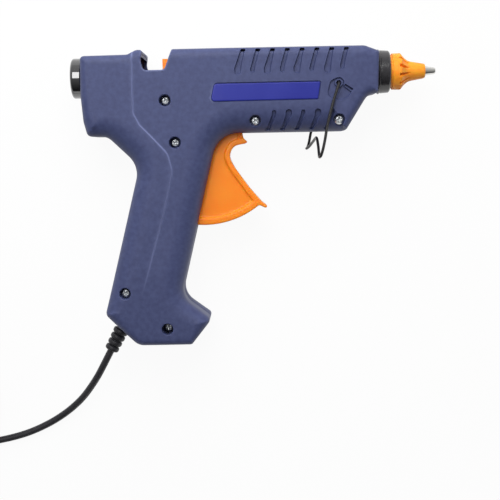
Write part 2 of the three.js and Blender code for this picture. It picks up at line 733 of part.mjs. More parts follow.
function inletSleeve() {
  const spigot = stickBore + 1.4 + seatGap;
  return turned([
    [sleeveRear, stickBore + 0.8], [sleeveRear, stickBore + sleeveWall], [chamberRear - 2, spigot + sleeveWall],
    [chamberRear + 7, spigot + sleeveWall], [chamberRear + 7, spigot], [chamberRear - seatGap, spigot],
    [chamberRear - seatGap, stickBore], [sleeveRear + 2, stickBore],
  ]);
}

// ---------------------------------------------------------------- wire stand
// The bail: both ends turn into the housing, the legs run down to two feet, and the cross wire rises
// between them.
function wireStand() {
  const z = half - taperSlope * (standPivotX - taperStart) + seatGap + standWire;
  const near = [
    [standPivotX, standPivotY, z - 5.4], [standPivotX, standPivotY, z - 1.2], [67.7, standPivotY - 1.4, z],
    [65.4, -13.6, z + 0.2], [63.2, -21.8, z + 0.2], [61.4, -27, z + 0.1], [60.3, -34, z],
    [58.6, -42, z - 0.3], [standFootX + 0.4, standFootY + 1.6, z - 1.6], [standFootX, standFootY + 0.8, z - 4],
    [standFootX + 0.8, standFootY + 5, z - 7],
  ];
  const far = near.map(([x, y, height], i) => {
    const share = THREE.MathUtils.clamp((i - 2) / 6, 0, 1);
    return [x - standSkew * share, y + 0.5 * standSkew * share, -height];
  }).reverse();
  return tube([...near, [standFootX, standPeakY, 0], ...far], standWire, 52, 6);
}

// ---------------------------------------------------------------- label, screws, pins
function labelPlate() {
  const geometry = prism(labelShape(0), -labelThickness + 0.2, -0.1).translate(-taperStart, 0, 0);
  return geometry.rotateY(Math.atan(taperSlope)).translate(taperStart, 0, half);
}

// A domed screw with its head's underside at the origin, pointing down.
function domedScrew(radius, headRadius, headHeight, length) {
  const profile = [[0, -length], [radius * 0.6, -length], [radius, -length + 1.2], [radius, 0], [headRadius, 0],
    [headRadius, headHeight * 0.45], [headRadius * 0.7, headHeight * 0.85], [0, headHeight]];
  return new THREE.LatheGeometry(profile.map(([r, y]) => new THREE.Vector2(r, y)), 12).rotateX(Math.PI / 2);
}

// ---------------------------------------------------------------- cord entry
// A ribbed sleeve that grips the cord, with a groove for the housing's edge and a collar inside.
function strainRelief() {
  const inside = cordRadius + seatGap;
  const profile = [[-8, inside], [-8, bootRadius + 0.9], [-5.8, bootRadius + 0.9], [-5.8, bootNeck]];
  const ribs = 4;
  const pitch = (bootLength - bootStandoff) / ribs;
  for (let i = 0; i < ribs; i += 1) {
    const r = bootRadius + (bootTipRadius - bootRadius) * i / (ribs - 1);
    const x = bootStandoff + i * pitch;
    profile.push([x, i ? r - 1.1 : bootNeck], [x, r], [x + pitch * 0.6, r], [x + pitch * 0.66, r - 1.1]);
  }
  profile.push([bootLength, bootTipRadius - 1.1], [bootLength, inside]);
  return turned(profile, 12).rotateZ(bootTilt).translate(bootStart.x, bootStart.y, 0);
}

function bootHole() {
  return bore(-9, 3, bootNeck + seatGap, 12).rotateZ(bootTilt).translate(bootStart.x, bootStart.y, 0);
}

function clampScrewPlaces() {
  const across = new THREE.Vector2(-bootAlong.y, bootAlong.x);
  return [-1, 1].map((side) => {
    const place = new THREE.Vector2(clampX, clampY).addScaledVector(across, side * clampReach);
    return [place.x, place.y];
  });
}

// A bar screwed down over the cord, inside the grip.
function cordClamp() {
  const long = clampReach + 2.6;
  const bar = solid(box([-3.2, 3.2], [-long, long], [-clampSeat + seatGap, cordRadius + 2]));
  const groove = solid(bore(-9, 9, cordRadius + seatGap, 16));
  const holes = [-1, 1].map((side) => solid(post(0, side * clampReach, clampScrew + seatGap, -9, 9, 12)));
  return cut(bar, [groove, ...holes]);
}

// ---------------------------------------------------------------- plug
function plugBody() {
  const w = plugWidth / 2;
  const outlinePlug = shapeOf([
    [-6, 0], [6, 0], [w - 3, 14], [w, 19], [w, plugLength - 3], [w - 3, plugLength],
    [-w + 3, plugLength], [-w, plugLength - 3], [-w, 19], [-w + 3, 14],
  ]);
  const bevel = 1.6;
  const body = new THREE.ExtrudeGeometry(outlinePlug, {
    depth: plugThickness - 2 * bevel,
    bevelEnabled: true,
    bevelThickness: bevel,
    bevelSize: bevel,
    bevelOffset: -bevel,
    bevelSegments: 2,
  }).translate(0, 0, -plugThickness / 2 + bevel);
  const [cordHole, pinHole] = [cordRadius + seatGap, pinRadius + seatGap];
  const entry = new THREE.CylinderGeometry(cordHole, cordHole, 10, 12).translate(0, 2, 0);
  const sockets = [-1, 1].map((side) => (
    new THREE.CylinderGeometry(pinHole, pinHole, 12, 16).translate(side * pinPitch / 2, plugLength - 2, 0)));
  return geometryOf(cut(solid(body), [entry, ...sockets].map(solid)));
}

function plugPin() {
  const end = pinLength + 6.8;
  const profile = [[0, 0], [pinRadius, 0], [pinRadius, end - 1.8], [pinRadius * 0.6, end - 0.4], [0, end]];
  return new THREE.LatheGeometry(profile.map(([r, y]) => new THREE.Vector2(r, y)), 16);
}

// ---------------------------------------------------------------- assembly
const glueGun = new THREE.Group();
const barrelAxis = new THREE.Group();   // pieces drawn about the barrel's axis
barrelAxis.position.z = half;
glueGun.add(barrelAxis);

function place(name, shape, material, parent = barrelAxis) {
  const geometry = shape.isBufferGeometry ? shape : geometryOf(shape);
  const mesh = new THREE.Mesh(geometry, material);
  mesh.name = name;
  parent.add(mesh);
  return mesh;
}

place('shell_near', housingHalf(true), navy, glueGun);
place('shell_far', housingHalf(false), navy, glueGun);
place('inlet_ring', inletRing(), black);
place('stick_guide', stickGuide(), black);
place('feed_carriage', feedCarriage(), orange);
place('feed_claw', feedClaw(), orange);
const clawPinHalf = clawPinLength / 2 - seatGap;
place('claw_pin', post(clawPivotX, clawPivotY, clawPinRadius, -clawPinHalf, clawPinHalf, 12), steel);
place('return_spring', returnSpring(), steel);
place('trigger', trigger(), orange);
place('trigger_pin', post(pivotX, pivotY, pivotPinRadius, -pivotPinLength / 2, pivotPinLength / 2, 20), steel);
place('inlet_sleeve', inletSleeve(), silicone);
place('melt_chamber', meltChamber(), aluminium);
place('heater_ring_rear', heaterRing(heaterRingPlaces[0]), ceramic);
place('heater_ring_front', heaterRing(heaterRingPlaces[1]), ceramic);
place('heating_element', box(
  [heaterRear, heaterRear + heaterLength],
  [heaterDrop - heaterThickness / 2, heaterDrop + heaterThickness / 2],
  [-heaterWidth / 2, heaterWidth / 2],
), ceramic);
place('front_collar', frontCollar(), softBlack);
place('nozzle', nozzle(), brass);
place('nozzle_sleeve', nozzleSleeve(), silicone);
place('wire_stand', wireStand(), black);
place('label_plate', labelPlate(), blue);
screwPlaces.forEach(([x, y], i) => {
  const shape = domedScrew(screwRadius, screwHeadRadius, screwHeadHeight, screwLength);
  const screw = place(`housing_screw_${i + 1}`, shape, steel);
  screw.position.set(x, y, recessFloor + seatGap);
});

// Cord entry
place('strain_relief', strainRelief(), softBlack);
const clamp = place('cord_clamp', cordClamp(), softBlack);
clamp.position.set(clampX, clampY, 0);
clamp.rotation.z = bootTilt;
clampScrewPlaces().forEach(([x, y], i) => {
  const screw = place(`clamp_screw_${i + 1}`, domedScrew(clampScrew, 2, 1.4, 9), steel);
  screw.position.set(x, y, cordRadius + 2 + seatGap);
});

// Two insulated leads from the cord to the heater, one along each side of the housing.
[['lead_live', 1], ['lead_neutral', -1]].forEach(([name, side]) => {
  const route = [
    [-47, -123.4, 1.1], [-44.6, -119.6, 2.4], [-43.2, -113, 5], [-42, -104, 9], [-38, -86, 10.8],
    [-33.5, -66, 10.8], [-29.6, -48, 10.8], [-25, -29.5, 10.8], [-14, -25.6, 10.8], [4, -24, 10.8],
    [14, -21, 9.5], [26, -17.6, 5], [34.5, -15.7, 3.6],
    [heaterRear - seatGap, heaterDrop, 3.4],
  ];
  place(name, tube(route.map(([x, y, z]) => [x, y, side * z]), 0.9, 26, 6), side > 0 ? softBlack : blue);
});

// Cord: from inside the grip through the boot, then drooping to the table and away to its coil.
const cordInside = [-47.7, -124.7];
const cordRoute = [
  [...cordInside, half], [-49.5, -128, half], [-56, -140.2, half], [-64.6, -156.3, half], [-68.2, -163, 19],
  [-72.4, -170.4, 16.8], [-77.4, -177.8, 13], [-83.2, -185.2, 8.6], [-90.2, -192, 5], [-98.2, -198, 2.9],
  [-107, -203, 2.2], [-118, -207.6, 2.1], [-130, -210.8, 2.1], [-140, -211.9, 2.1], [-152.3, -212, 2.1],
];
const tailRoute = [
  [-190, -174.5, 2.1], [-189.8, -163, 2.6], [-189, -157, 4.4], [-188.3, -151, 6.4], [plugX, plugY - 0.3, 7],
];
place('cord', tube(cordRoute, cordRadius, 40, 8), softBlack, glueGun);
place('cord_tail', tube(tailRoute, cordRadius, 8, 8), softBlack, glueGun);

const coilHeight = tieThickness + seatGap + coilSection / 2;
const bundle = [];
for (let k = 0; k < 12; k += 1) {
  const angle = 2 * Math.PI * k / 12;
  const reach = coilSection / 2;
  bundle.push(new THREE.Vector2(coilRadius + reach * Math.cos(angle), reach * Math.sin(angle)));
}
const turns = new THREE.LatheGeometry([...bundle, bundle[0]], 28).rotateX(Math.PI / 2);
const coil = place('cord_coil', turns, softBlack, glueGun);
coil.position.set(coilX, coilY, coilHeight);

// A strap round the coil's turns.
const strap = new THREE.Shape();
strap.absarc(0, 0, coilSection / 2 + seatGap + tieThickness, 0, 2 * Math.PI);
const strapHole = new THREE.Path();
strapHole.absarc(0, 0, coilSection / 2 + seatGap, 0, 2 * Math.PI, true);
strap.holes.push(strapHole);
const strapShape = prism(strap, -tieWidth / 2, tieWidth / 2, 14).rotateY(Math.PI / 2);
const tie = place('coil_tie', strapShape, black, glueGun);
tie.position.set(coilX, coilY + coilRadius, coilHeight);

// Plug
const plug = new THREE.Group();
plug.position.set(plugX, plugY, plugThickness / 2);
glueGun.add(plug);
place('plug', plugBody(), softBlack, plug);
[-1, 1].forEach((side, i) => {
  const pin = place(`plug_pin_${i + 1}`, plugPin(), steel, plug);
  pin.position.set(side * pinPitch / 2, plugLength - 6, 0);
});

export default glueGun;
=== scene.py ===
# %% [markdown]
# # A hot-melt glue gun
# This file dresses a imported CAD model. The CAD gives the sizes, the joints and the places of all
# the parts; Blender gives the fine shapes and the finishes. The gun lies on its side, so that X
# runs along the barrel to the nozzle, Y is the gun's own up and Z comes out of its near side.

# %% The frame
import math
import bmesh
import bpy
import numpy as np
from mathutils import Matrix, Vector
from mathutils.geometry import delaunay_2d_cdt


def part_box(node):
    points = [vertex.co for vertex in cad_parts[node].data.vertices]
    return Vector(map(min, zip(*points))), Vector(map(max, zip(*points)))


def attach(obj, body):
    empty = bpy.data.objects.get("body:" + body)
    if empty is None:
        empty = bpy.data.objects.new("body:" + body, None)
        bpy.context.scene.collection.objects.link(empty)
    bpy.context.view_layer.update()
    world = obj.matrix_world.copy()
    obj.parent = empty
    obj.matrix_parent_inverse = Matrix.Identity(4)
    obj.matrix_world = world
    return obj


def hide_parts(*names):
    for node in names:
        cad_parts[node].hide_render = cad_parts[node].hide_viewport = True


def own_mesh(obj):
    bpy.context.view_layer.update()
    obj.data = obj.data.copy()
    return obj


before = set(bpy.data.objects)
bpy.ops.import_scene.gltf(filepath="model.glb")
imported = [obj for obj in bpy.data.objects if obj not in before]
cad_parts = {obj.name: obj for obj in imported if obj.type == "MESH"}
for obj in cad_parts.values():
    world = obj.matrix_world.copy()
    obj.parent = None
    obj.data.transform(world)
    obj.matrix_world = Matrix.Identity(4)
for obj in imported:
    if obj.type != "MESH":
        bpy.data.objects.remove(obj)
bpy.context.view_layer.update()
MM = 0.001          # the drawing numbers below are millimetres, and Blender's are metres

# %% [markdown]
# ## Camera
# A camera far above the side face, with a short telephoto lens, sees its true outline and only a
# little of its edges. It is turned by about a degree, so that the barrel rises towards the nozzle.

# %% Camera
CAMERA_PLACE = Vector((21.1, -41.65, 619.5)) * MM
CAMERA_TARGET = Vector((17.4, -98.71, 19.5)) * MM
CAMERA_ROLL = math.radians(1.19)


def facing(place, away, side):
    """The matrix of an object at a place that looks along minus away, with its own X along side."""
    return Matrix.Translation(place) @ Matrix((side, away.cross(side), away)).transposed().to_4x4()


camera = bpy.data.objects.new("camera", bpy.data.cameras.new("camera"))
camera.data.lens = 75.82
camera.data.sensor_width = 36
camera.data.clip_start = 0.01
backward = (CAMERA_PLACE - CAMERA_TARGET).normalized()
image_up = Vector((math.sin(CAMERA_ROLL), math.cos(CAMERA_ROLL), 0))
camera.matrix_world = facing(CAMERA_PLACE, backward, image_up.cross(backward).normalized())
bpy.context.scene.collection.objects.link(camera)
bpy.context.scene.camera = camera
print("camera", round((CAMERA_PLACE - CAMERA_TARGET).length, 3), "m from the gun")

# %% [markdown]
# ## Shapes from arrays
# Almost every piece here is a surface with two parameters. Its points are worked out as whole
# numpy arrays, and the faces between neighbours follow from the grid. The helpers here make the
# mesh and the grid's faces, and draw the lines that shapes start from: a polygon with rounded
# corners, which is what moulded parts are drawn with, and a smooth line through given points.

# %% Mesh helpers
def add_piece(name, points, faces, body, slot, sharp=35):
    """A mesh piece from points in millimetres, welded where points meet, riding on a body."""
    mesh = bpy.data.meshes.new(name)
    mesh.from_pydata((np.asarray(points) * MM).tolist(), [], [list(face) for face in faces])
    made = bpy.data.objects.new(name, mesh)
    bpy.context.scene.collection.objects.link(made)
    weld(mesh)
    mesh.shade_smooth()
    mesh.set_sharp_from_angle(angle=math.radians(sharp))
    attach(made, body)
    print(name, len(mesh.vertices), "points", len(mesh.polygons), "faces")
    return made


def weld(mesh, within=2e-6):
    """Joins points that lie together, drops faces without area, and points all faces outwards."""
    cage = bmesh.new()
    cage.from_mesh(mesh)
    bmesh.ops.remove_doubles(cage, verts=cage.verts, dist=within)
    bmesh.ops.dissolve_degenerate(cage, edges=cage.edges, dist=within)
    bmesh.ops.recalc_face_normals(cage, faces=cage.faces)
    cage.to_mesh(mesh)
    cage.free()


def grid_faces(rows, columns, close_rows=False, close_columns=False):
    """The quads between neighbours of a grid, whose rows or columns may close into a ring."""
    r, c = np.meshgrid(
        np.arange(rows - (not close_rows)), np.arange(columns - (not close_columns)), indexing="ij")
    r1, c1 = (r + 1) % rows, (c + 1) % columns
    quads = np.stack([r * columns + c, r * columns + c1, r1 * columns + c1, r1 * columns + c], -1)
    return quads.reshape(-1, 4).tolist()


def tube_faces(rings, sides):
    """The faces of a row of rings, with a cap on the first ring and on the last."""
    caps = [list(range(sides)), list(range((rings - 1) * sides, rings * sides))]
    return grid_faces(rings, sides, close_columns=True) + caps


def joined(bodies):
    """Several closed bodies as one list of points and one list of faces."""
    points, faces, count = [], [], 0
    for rows, corners in bodies:
        points.append(np.asarray(rows))
        faces += [[k + count for k in face] for face in corners]
        count += len(rows)
    return np.vstack(points), faces

# %% Small sums
def blend(share):
    """A step that starts and ends level: 3 s^2 - 2 s^3."""
    share = np.clip(share, 0, 1)
    return share * share * (3 - 2 * share)


def unit(vectors):
    """The vectors, one to a row, each at length 1."""
    return vectors / np.maximum(np.hypot.reduce(vectors, axis=1), 1e-9)[:, None]


def left_of(vectors):
    """Flat vectors turned a quarter to the left."""
    return np.stack([-vectors[:, 1], vectors[:, 0]], 1)


def crossed(first, second):
    """The height of the cross product of flat vectors: x1 * y2 - y1 * x2."""
    return first[:, 0] * second[:, 1] - first[:, 1] * second[:, 0]


def polar(radius, angle):
    """Flat vectors of a length in a direction: radius * (cos(angle), sin(angle))."""
    return np.stack([radius * np.cos(angle), radius * np.sin(angle)], -1)


def angles(count):
    """Angles spread evenly round a circle."""
    return np.linspace(0, 2 * np.pi, count, endpoint=False)


def eased(loop, times):
    """Each row of a closed loop moves to the mean of itself and its neighbours, a few times."""
    for _ in range(times):
        loop = (np.roll(loop, 1, 0) + 2 * loop + np.roll(loop, -1, 0)) / 4
    return loop


def thinned(points, cell):
    """One point for each square of a grid that has any."""
    return points[np.unique(np.round(points / cell).astype(int), axis=0, return_index=True)[1]]

# %% Lines
def rounded_loop(corners, spacing=1.0, counts=None):
    """A polygon with rounded corners as a closed row of points.

    A corner is (x, y, fillet radius). Each fillet is an arc that touches both edges, at
    radius * tan(turn / 2) from the corner, and the straight parts between are cut evenly. Returns
    the points, the edge that each lies on, as a number that runs from one edge to the next round
    a fillet, and the counts, so that another polygon can be cut the same way.
    """
    corners = np.array(corners, float)
    tips, radii = corners[:, :2], corners[:, 2]
    along = np.roll(tips, -1, 0) - tips
    lengths = np.hypot(*along.T)
    along = unit(along)
    before = np.roll(along, 1, 0)
    turns = np.arctan2(crossed(before, along), (before * along).sum(1))
    room = 0.48 * np.minimum(lengths, np.roll(lengths, 1))
    reach = np.minimum(radii * np.tan(abs(turns) / 2), room)
    radii = reach / np.tan(np.maximum(abs(turns), 1e-6) / 2)
    if counts is None:
        spacings = np.broadcast_to(spacing, len(tips))
        arcs = np.maximum(2, np.ceil(abs(turns) * np.maximum(radii / spacings, 2.5)))
        spans = np.maximum(1, np.ceil((lengths - reach - np.roll(reach, -1)) / spacings))
        counts = np.stack([arcs, spans], 1).astype(int).tolist()
    rows, edges = [], []
    for i, (arc, span) in enumerate(counts):
        inward = np.sign(turns[i]) * left_of(before[i:i + 1])
        first = tips[i] - before[i] * reach[i]
        swing = np.linspace(0, abs(turns[i]), arc + 1)[:, None]
        rows.append(first + radii[i] * (inward * (1 - np.cos(swing)) + before[i] * np.sin(swing)))
        edges.append(i - 1 + np.linspace(0, 1, arc + 1))
        ahead = (i + 1) % len(tips)
        last = tips[ahead] - along[i] * reach[ahead]
        share = np.linspace(0, 1, span + 1)[1:-1, None]
        rows.append(rows[-1][-1] * (1 - share) + last * share)
        edges.append(np.full(span - 1, float(i)))
    return np.concatenate(rows), np.concatenate(edges), counts


def outline(corners, spacing=1.0, counts=None, at=(0, 0)):
    """Only the points of a rounded polygon, moved by a distance."""
    moved = [(x + at[0], y + at[1], radius) for x, y, radius in corners]
    return rounded_loop(moved, spacing, counts)[0]


def box_corners(left, low, right, high, radius):
    """The corners of an upright rectangle, all rounded alike."""
    return [(left, low, radius), (right, low, radius), (right, high, radius), (left, high, radius)]


def circle(x, y, radius, spacing=0.5):
    """A circle's points, about a spacing apart: centre + radius * (cos(angle), sin(angle))."""
    return polar(radius, angles(max(16, int(2 * np.pi * radius / spacing)))) + (x, y)


def smooth_line(points, steps):
    """A smooth line through points: a centripetal Catmull-Rom curve, cut into equal parameters.

    The curve is found by blending neighbours in three rounds, each between two of four knots.
    """
    p = np.asarray(points, float)
    p = np.vstack([2 * p[0] - p[1], p, 2 * p[-1] - p[-2]])
    gaps = np.maximum(np.linalg.norm(np.diff(p, axis=0), axis=1) ** 0.5, 1e-6)
    knots = np.concatenate([[0], np.cumsum(gaps)])
    place = np.linspace(0, len(points) - 1, steps + 1)
    i = np.minimum(place.astype(int), len(points) - 2)
    t = (knots[i + 1] + (place - i) * gaps[i + 1])[:, None]
    k = [knots[i + n][:, None] for n in range(4)]
    level = [p[i + n] for n in range(4)]
    for spans in ((0, 1), (1, 2), (2, 3)), ((0, 2), (1, 3)), ((1, 2),):
        level = [(level[n] * (k[b] - t) + level[n + 1] * (t - k[a])) / (k[b] - k[a])
                 for n, (a, b) in enumerate(spans)]
    return level[0]


def length_of(line):
    """The sum of the distances between neighbours."""
    return float(np.linalg.norm(np.diff(line, axis=0), axis=1).sum())


def tube(line, radius, sides, up):
    """A round tube along a line, closed at both ends.

    Each ring is centre + radius * (cos(angle) * side + sin(angle) * top), where along is the line's
    direction, side = up x along and top = along x side. The line never runs along up.
    """
    along = unit(np.gradient(line, axis=0))
    side = unit(np.cross(up, along))
    top = np.cross(along, side)
    angle = angles(sides)[:, None]
    rings = line[:, None] + radius * (np.cos(angle) * side[:, None] + np.sin(angle) * top[:, None])
    return rings.reshape(-1, 3), tube_faces(len(line), sides)


def turned_points(profile, sides, at=(0, 0, 0), towards=(1, 0)):
    """A profile of (distance along, radius) rows turned about an axis through a point.

    The axis lies level, in the direction towards. Row i holds the profile at angle i, so a point is
    at + along * axis + radius * (cos(angle) * across + sin(angle) * up).
    """
    axis = np.array([*towards, 0.0]) / np.hypot(*towards)
    across = np.array([-axis[1], axis[0], 0.0])
    angle = angles(sides)[:, None, None]
    along, radius = np.asarray(profile, float)[:, 0:1], np.asarray(profile, float)[:, 1:2]
    ring = np.cos(angle) * across + np.sin(angle) * np.array([0, 0, 1.0])
    return (np.array(at) + along * axis + radius * ring).reshape(-1, 3)


def turned(name, profile, body, slot, sides=96, at=(0, 0, 0), towards=(1, 0), sharp=35):
    """A closed profile carried round an axis: one column per profile point, one row per angle."""
    faces = grid_faces(sides, len(profile), close_rows=True, close_columns=True)
    return add_piece(name, turned_points(profile, sides, at, towards), faces, body, slot, sharp)

# %% [markdown]
# ## Cord
# A lead of 1.4 m with two cores leaves the foot of the grip, droops to the table and is wound up for
# storage, as it comes out of the box. Rings set square to a smooth line make the tube, and the line
# gives its length. The winding is a flat spiral that fills one layer inwards, climbs by one
# thickness and fills the next outwards, so no turn passes through another and both ends come out
# at the rim.

# %% Cord's route
HALF = 19.5                       # the seam between the halves, above the table
CORD_LENGTH, CORD_RADIUS = 1400, 2.0
CORD_LOW = CORD_RADIUS + 0.1      # the height of the lowest turns' middle
COIL_CENTRE = np.array([-163.0, -185.0])
COIL_LAYERS, COIL_PITCH, COIL_RISE = 4, 4.15, 4.1
COIL_FIRST, COIL_SWEEP = math.radians(-62), math.radians(126) + 16 * math.pi
COIL_DEPTH = COIL_PITCH * COIL_SWEEP / (2 * math.pi) / COIL_LAYERS
LEAD_OUT, END_OUT = 2.6, 4.4      # how far the lead and the end stand off the rim where they join
JOIN, SETTLE, CLIMB = 30, 17, 0.14     # 1 / JOIN of the winding joins them, 1 / SETTLE comes down
cord_lead = np.array([
    [-59.7, -147.2, 19.5], [-64.6, -156.3, 19.5], [-68.2, -163, 19], [-72.4, -170.4, 16.8],
    [-77.4, -177.8, 13], [-83.2, -185.2, 8.6], [-90.2, -192, 5], [-98.2, -198, 2.9],
    [-107, -203, 2.2], [-118, -207.6, 2.1], [-130, -210.8, 2.1], [-139, -212.2, 2.1]])
cord_end = np.array([
    [-192.6, -178, 2.2], [-190.6, -170, 2.1], [-189.8, -163, 2.6], [-189, -157, 4.4],
    [-188.3, -151, 6.4], [-188, -146.3, 7]])


def coil_route(rim, points_per_turn=18):
    """The winding, clockwise from above: a radius that sweeps in and out between the rim and the
    inner turns while the height climbs by one thickness at each change of layer."""
    share = np.linspace(0, 1, int(COIL_SWEEP / (2 * math.pi) * points_per_turn))
    layer = share * COIL_LAYERS
    sweep = abs((layer + 1) % 2 - 1)                     # 0 at the rim, 1 at the inner turns
    radius = rim - COIL_DEPTH * sweep
    radius += LEAD_OUT * np.clip(1 - share * JOIN, 0, 1)
    radius += END_OUT * np.clip(1 - (1 - share) * JOIN, 0, 1)
    climb = np.floor(layer) - 1 + blend(layer % 1 / CLIMB)    # over the first part of a layer
    climb[(layer < 1) | (share == 1)] = 0
    height = CORD_LOW + COIL_RISE * climb * blend((1 - share) * SETTLE)
    return np.column_stack([COIL_CENTRE + polar(radius, COIL_FIRST - COIL_SWEEP * share), height])


rim_choices = np.linspace(25, 30, 51)
lengths = np.array([length_of(np.vstack([cord_lead, coil_route(r), cord_end])) for r in rim_choices])
coil_rim = rim_choices[abs(lengths - CORD_LENGTH).argmin()]
coil_inner = coil_rim - COIL_DEPTH
cord_route = np.vstack([cord_lead, coil_route(coil_rim), cord_end])
print("turns from", round(coil_inner, 1), "to", round(coil_rim, 1), "mm,",
      "cord", round(length_of(cord_route)), "mm")

# %% Cord
cord_line = smooth_line(cord_route, 5 * len(cord_route))
cord = add_piece("cord_lead", *tube(cord_line, CORD_RADIUS, 14, (0, 0, 1)), "housing", "pvc_black")
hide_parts("cord", "cord_tail", "cord_coil")

# %% [markdown]
# ## Coil tie
# The turns are held by a flat moulded strap. Its section is a rounded rectangle that hugs the bundle,
# swept along the strap's width, with the band's edges eased so that they catch the light.

# %% Coil tie
STRAP_THICKNESS, STRAP_WIDTH, STRAP_ROUND = 0.9, 5.0, 2.4
bundle_half = (coil_rim - coil_inner) / 2 + CORD_RADIUS + 0.25
bundle_top = CORD_RADIUS * 2 + COIL_RISE * (COIL_LAYERS - 1) + 0.4


def bundle_outline(out, counts=None):
    """The section that hugs the bundle, or one further out by the strap's thickness."""
    return rounded_loop(box_corners(
        -bundle_half - out, 0.02 - out, bundle_half + out, bundle_top + out,
        STRAP_ROUND + (out > 0)), counts=counts)


outside, _, counts = bundle_outline(STRAP_THICKNESS)
middle = (outside + bundle_outline(0, counts)[0]) / 2
crown = [(-0.5, 0.75), (-0.44, 1), (0.44, 1), (0.5, 0.75)]     # place across, share of half thickness
strap = np.vstack([
    np.column_stack([np.full(len(middle), place * STRAP_WIDTH), middle + (outside - middle) * share])
    for place, share in crown + [(place, -share) for place, share in crown[::-1]]])
strap += [COIL_CENTRE[0], COIL_CENTRE[1] + (coil_rim + coil_inner) / 2, 0.92]
strap_faces = grid_faces(2 * len(crown), len(middle), close_rows=True, close_columns=True)
coil_tie = add_piece("coil_strap", strap, strap_faces, "housing", "satin_black")
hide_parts("coil_tie")

# %% [markdown]
# ## Plug
# A flat two-pin mains plug is one moulding round its pins: a waist to hold it by, a wide flat body
# behind the pins, and a short collar for the lead. Lofting one rounded section along the plug, with
# a width and a thickness that change on the way, gives that shape.

# %% Plug
PLUG_AT = np.array([-188.0, -146.0, 7.0])
PLUG_SIDES, PLUG_STEPS, PLUG_SQUARENESS = 72, 105, 2.6
WAIST, WAIST_REACH = 12, 9
RIB_DEPTH, RIB_WAVE = 0.05, 2.6   # the finger ribs' depth is a share of the height
plug_profile = np.array([          # distance from the cord's end, half width, half thickness
    [0, 2.3, 2.3], [0, 4.4, 4.4], [0.5, 5.0, 5.0], [3, 5.3, 5.2], [7, 6.3, 5.6], [11, 9.0, 6.1],
    [15, 13.6, 6.6], [19, 16.9, 6.9], [23, 17.4, 7.0], [33.6, 17.4, 7.0], [35.2, 16.9, 6.6],
    [35.9, 15.8, 5.6], [36, 15.2, 5.0], [36, 0.2, 0.2]])


def lofted(profile, sides, steps, squareness):
    """Sections along Y: |x / width| ** n + |z / thickness| ** n = 1, an ellipse that grows square."""
    place = np.linspace(0, len(profile) - 1, steps)
    along, wide, thick = (
        np.interp(place, np.arange(len(profile)), column)[:, None] for column in profile.T)
    power = 2 / (2 + squareness * np.clip(along / 18, 0, 1))
    run, rise = polar(1, angles(sides)).T
    x = wide * np.sign(run) * abs(run) ** power
    z = thick * np.sign(rise) * abs(rise) ** power
    return np.stack([x, np.broadcast_to(along, x.shape), z], -1).reshape(-1, 3)


plug_points = lofted(plug_profile, PLUG_SIDES, PLUG_STEPS, PLUG_SQUARENESS) + PLUG_AT
plug_y, plug_rise = plug_points[:, 1], plug_points[:, 2] - PLUG_AT[2]
grip = np.clip(1 - abs(plug_y - PLUG_AT[1] - WAIST) / WAIST_REACH, 0, 1)
plug_points[:, 2] -= plug_rise * RIB_DEPTH * grip * np.sin(plug_y * RIB_WAVE) ** 2
plug_faces = tube_faces(PLUG_STEPS, PLUG_SIDES)
plug = add_piece("plug_moulding", plug_points, plug_faces, "housing", "pvc_black")
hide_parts("plug")

# %% [markdown]
# ## Housing: the outline
# The two halves are injection mouldings that meet at a seam down the middle. Seen from the side, a
# half is a polygon with rounded corners, and each edge turns over into the side face with a radius
# of its own. The numbers are close to those of the CAD halves, so the fine surface lies about on
# the coarse one.

# %% Housing outline
BARREL_TOP, BARREL_BOTTOM, HEEL_Y = 14.2, -32.1, -132.5
WALL = 2.4
SEAM = 0.15                       # each half stops this far from the seam plane
housing_rows = np.array([         # x, y, fillet, then the next edge: round's width, its drop, spacing
    [-73.6, 11.4, 2.2, 4.0, 4.0, 1.1], [-47.6, 11.7, 5.0, 4.0, 4.0, 0.9],
    [-43.0, 14.2, 4.0, 4.5, 4.5, 0.8], [82.9, 14.4, 7.0, 4.5, 4.5, 0.4],
    [90.7, 11.5, 1.6, 1.2, 1.2, 0.7], [89.9, -11.6, 0.8, 4.5, 4.5, 0.7],
    [84.2, -12.8, 14.0, 4.5, 4.5, 0.8], [71.9, -32.2, 3.0, 15.5, 10.0, 0.4],
    [0.8, -32.0, 15.0, 12.5, 9.0, 0.8], [-21.9, -123.2, 11.0, 9.0, 8.0, 0.9],
    [-5.1, -136.3, 2.4, 3.4, 3.2, 0.9], [-16.2, -150.0, 2.0, 3.5, 3.0, 1.1],
    [-46.3, -150.0, 8.0, 4.6, 4.0, 0.9], [-64.6, -132.5, 3.5, 12.0, 8.0, 1.1],
    [-43.3, -49.5, 13.5, 16.0, 9.0, 1.0], [-60.4, -32.8, 8.0, 9.0, 6.5, 0.9],
    [-71.1, -32.6, 3.0, 7.0, 5.6, 0.8], [-73.0, -24.5, 6.0, 5.0, 4.5, 0.9],
    [-74.0, -10.2, 10.0, 4.0, 3.8, 0.6]])
window_corners = [
    (-39.3, 14.2, 1.5), (-40.3, 8.0, 5), (-38.9, 2.9, 2.2), (-27.3, 2.9, 2.6), (-23.1, 14.2, 0.9)]
TOP_EDGE = 2                      # the outline's edge that the window is cut into

case_loop, case_edge, _ = rounded_loop(housing_rows[:, :3], housing_rows[:, 5])
open_rows = np.vstack([
    housing_rows[:TOP_EDGE + 1, :3], window_corners, housing_rows[TOP_EDGE + 1:, :3]])
open_spacing = [
    *housing_rows[:TOP_EDGE, 5], 0.5, *[0.4] * len(window_corners), *housing_rows[TOP_EDGE + 1:, 5]]
open_loop, open_edge, open_counts = rounded_loop(open_rows, open_spacing)
window_edge = (open_edge > TOP_EDGE + 0.5) & (open_edge < TOP_EDGE + len(window_corners) - 0.5)
window_loop = outline([*window_corners, (-23.1, 30, 0), (-39.3, 30, 0)], 0.5)
print(len(open_loop), "points round a half")

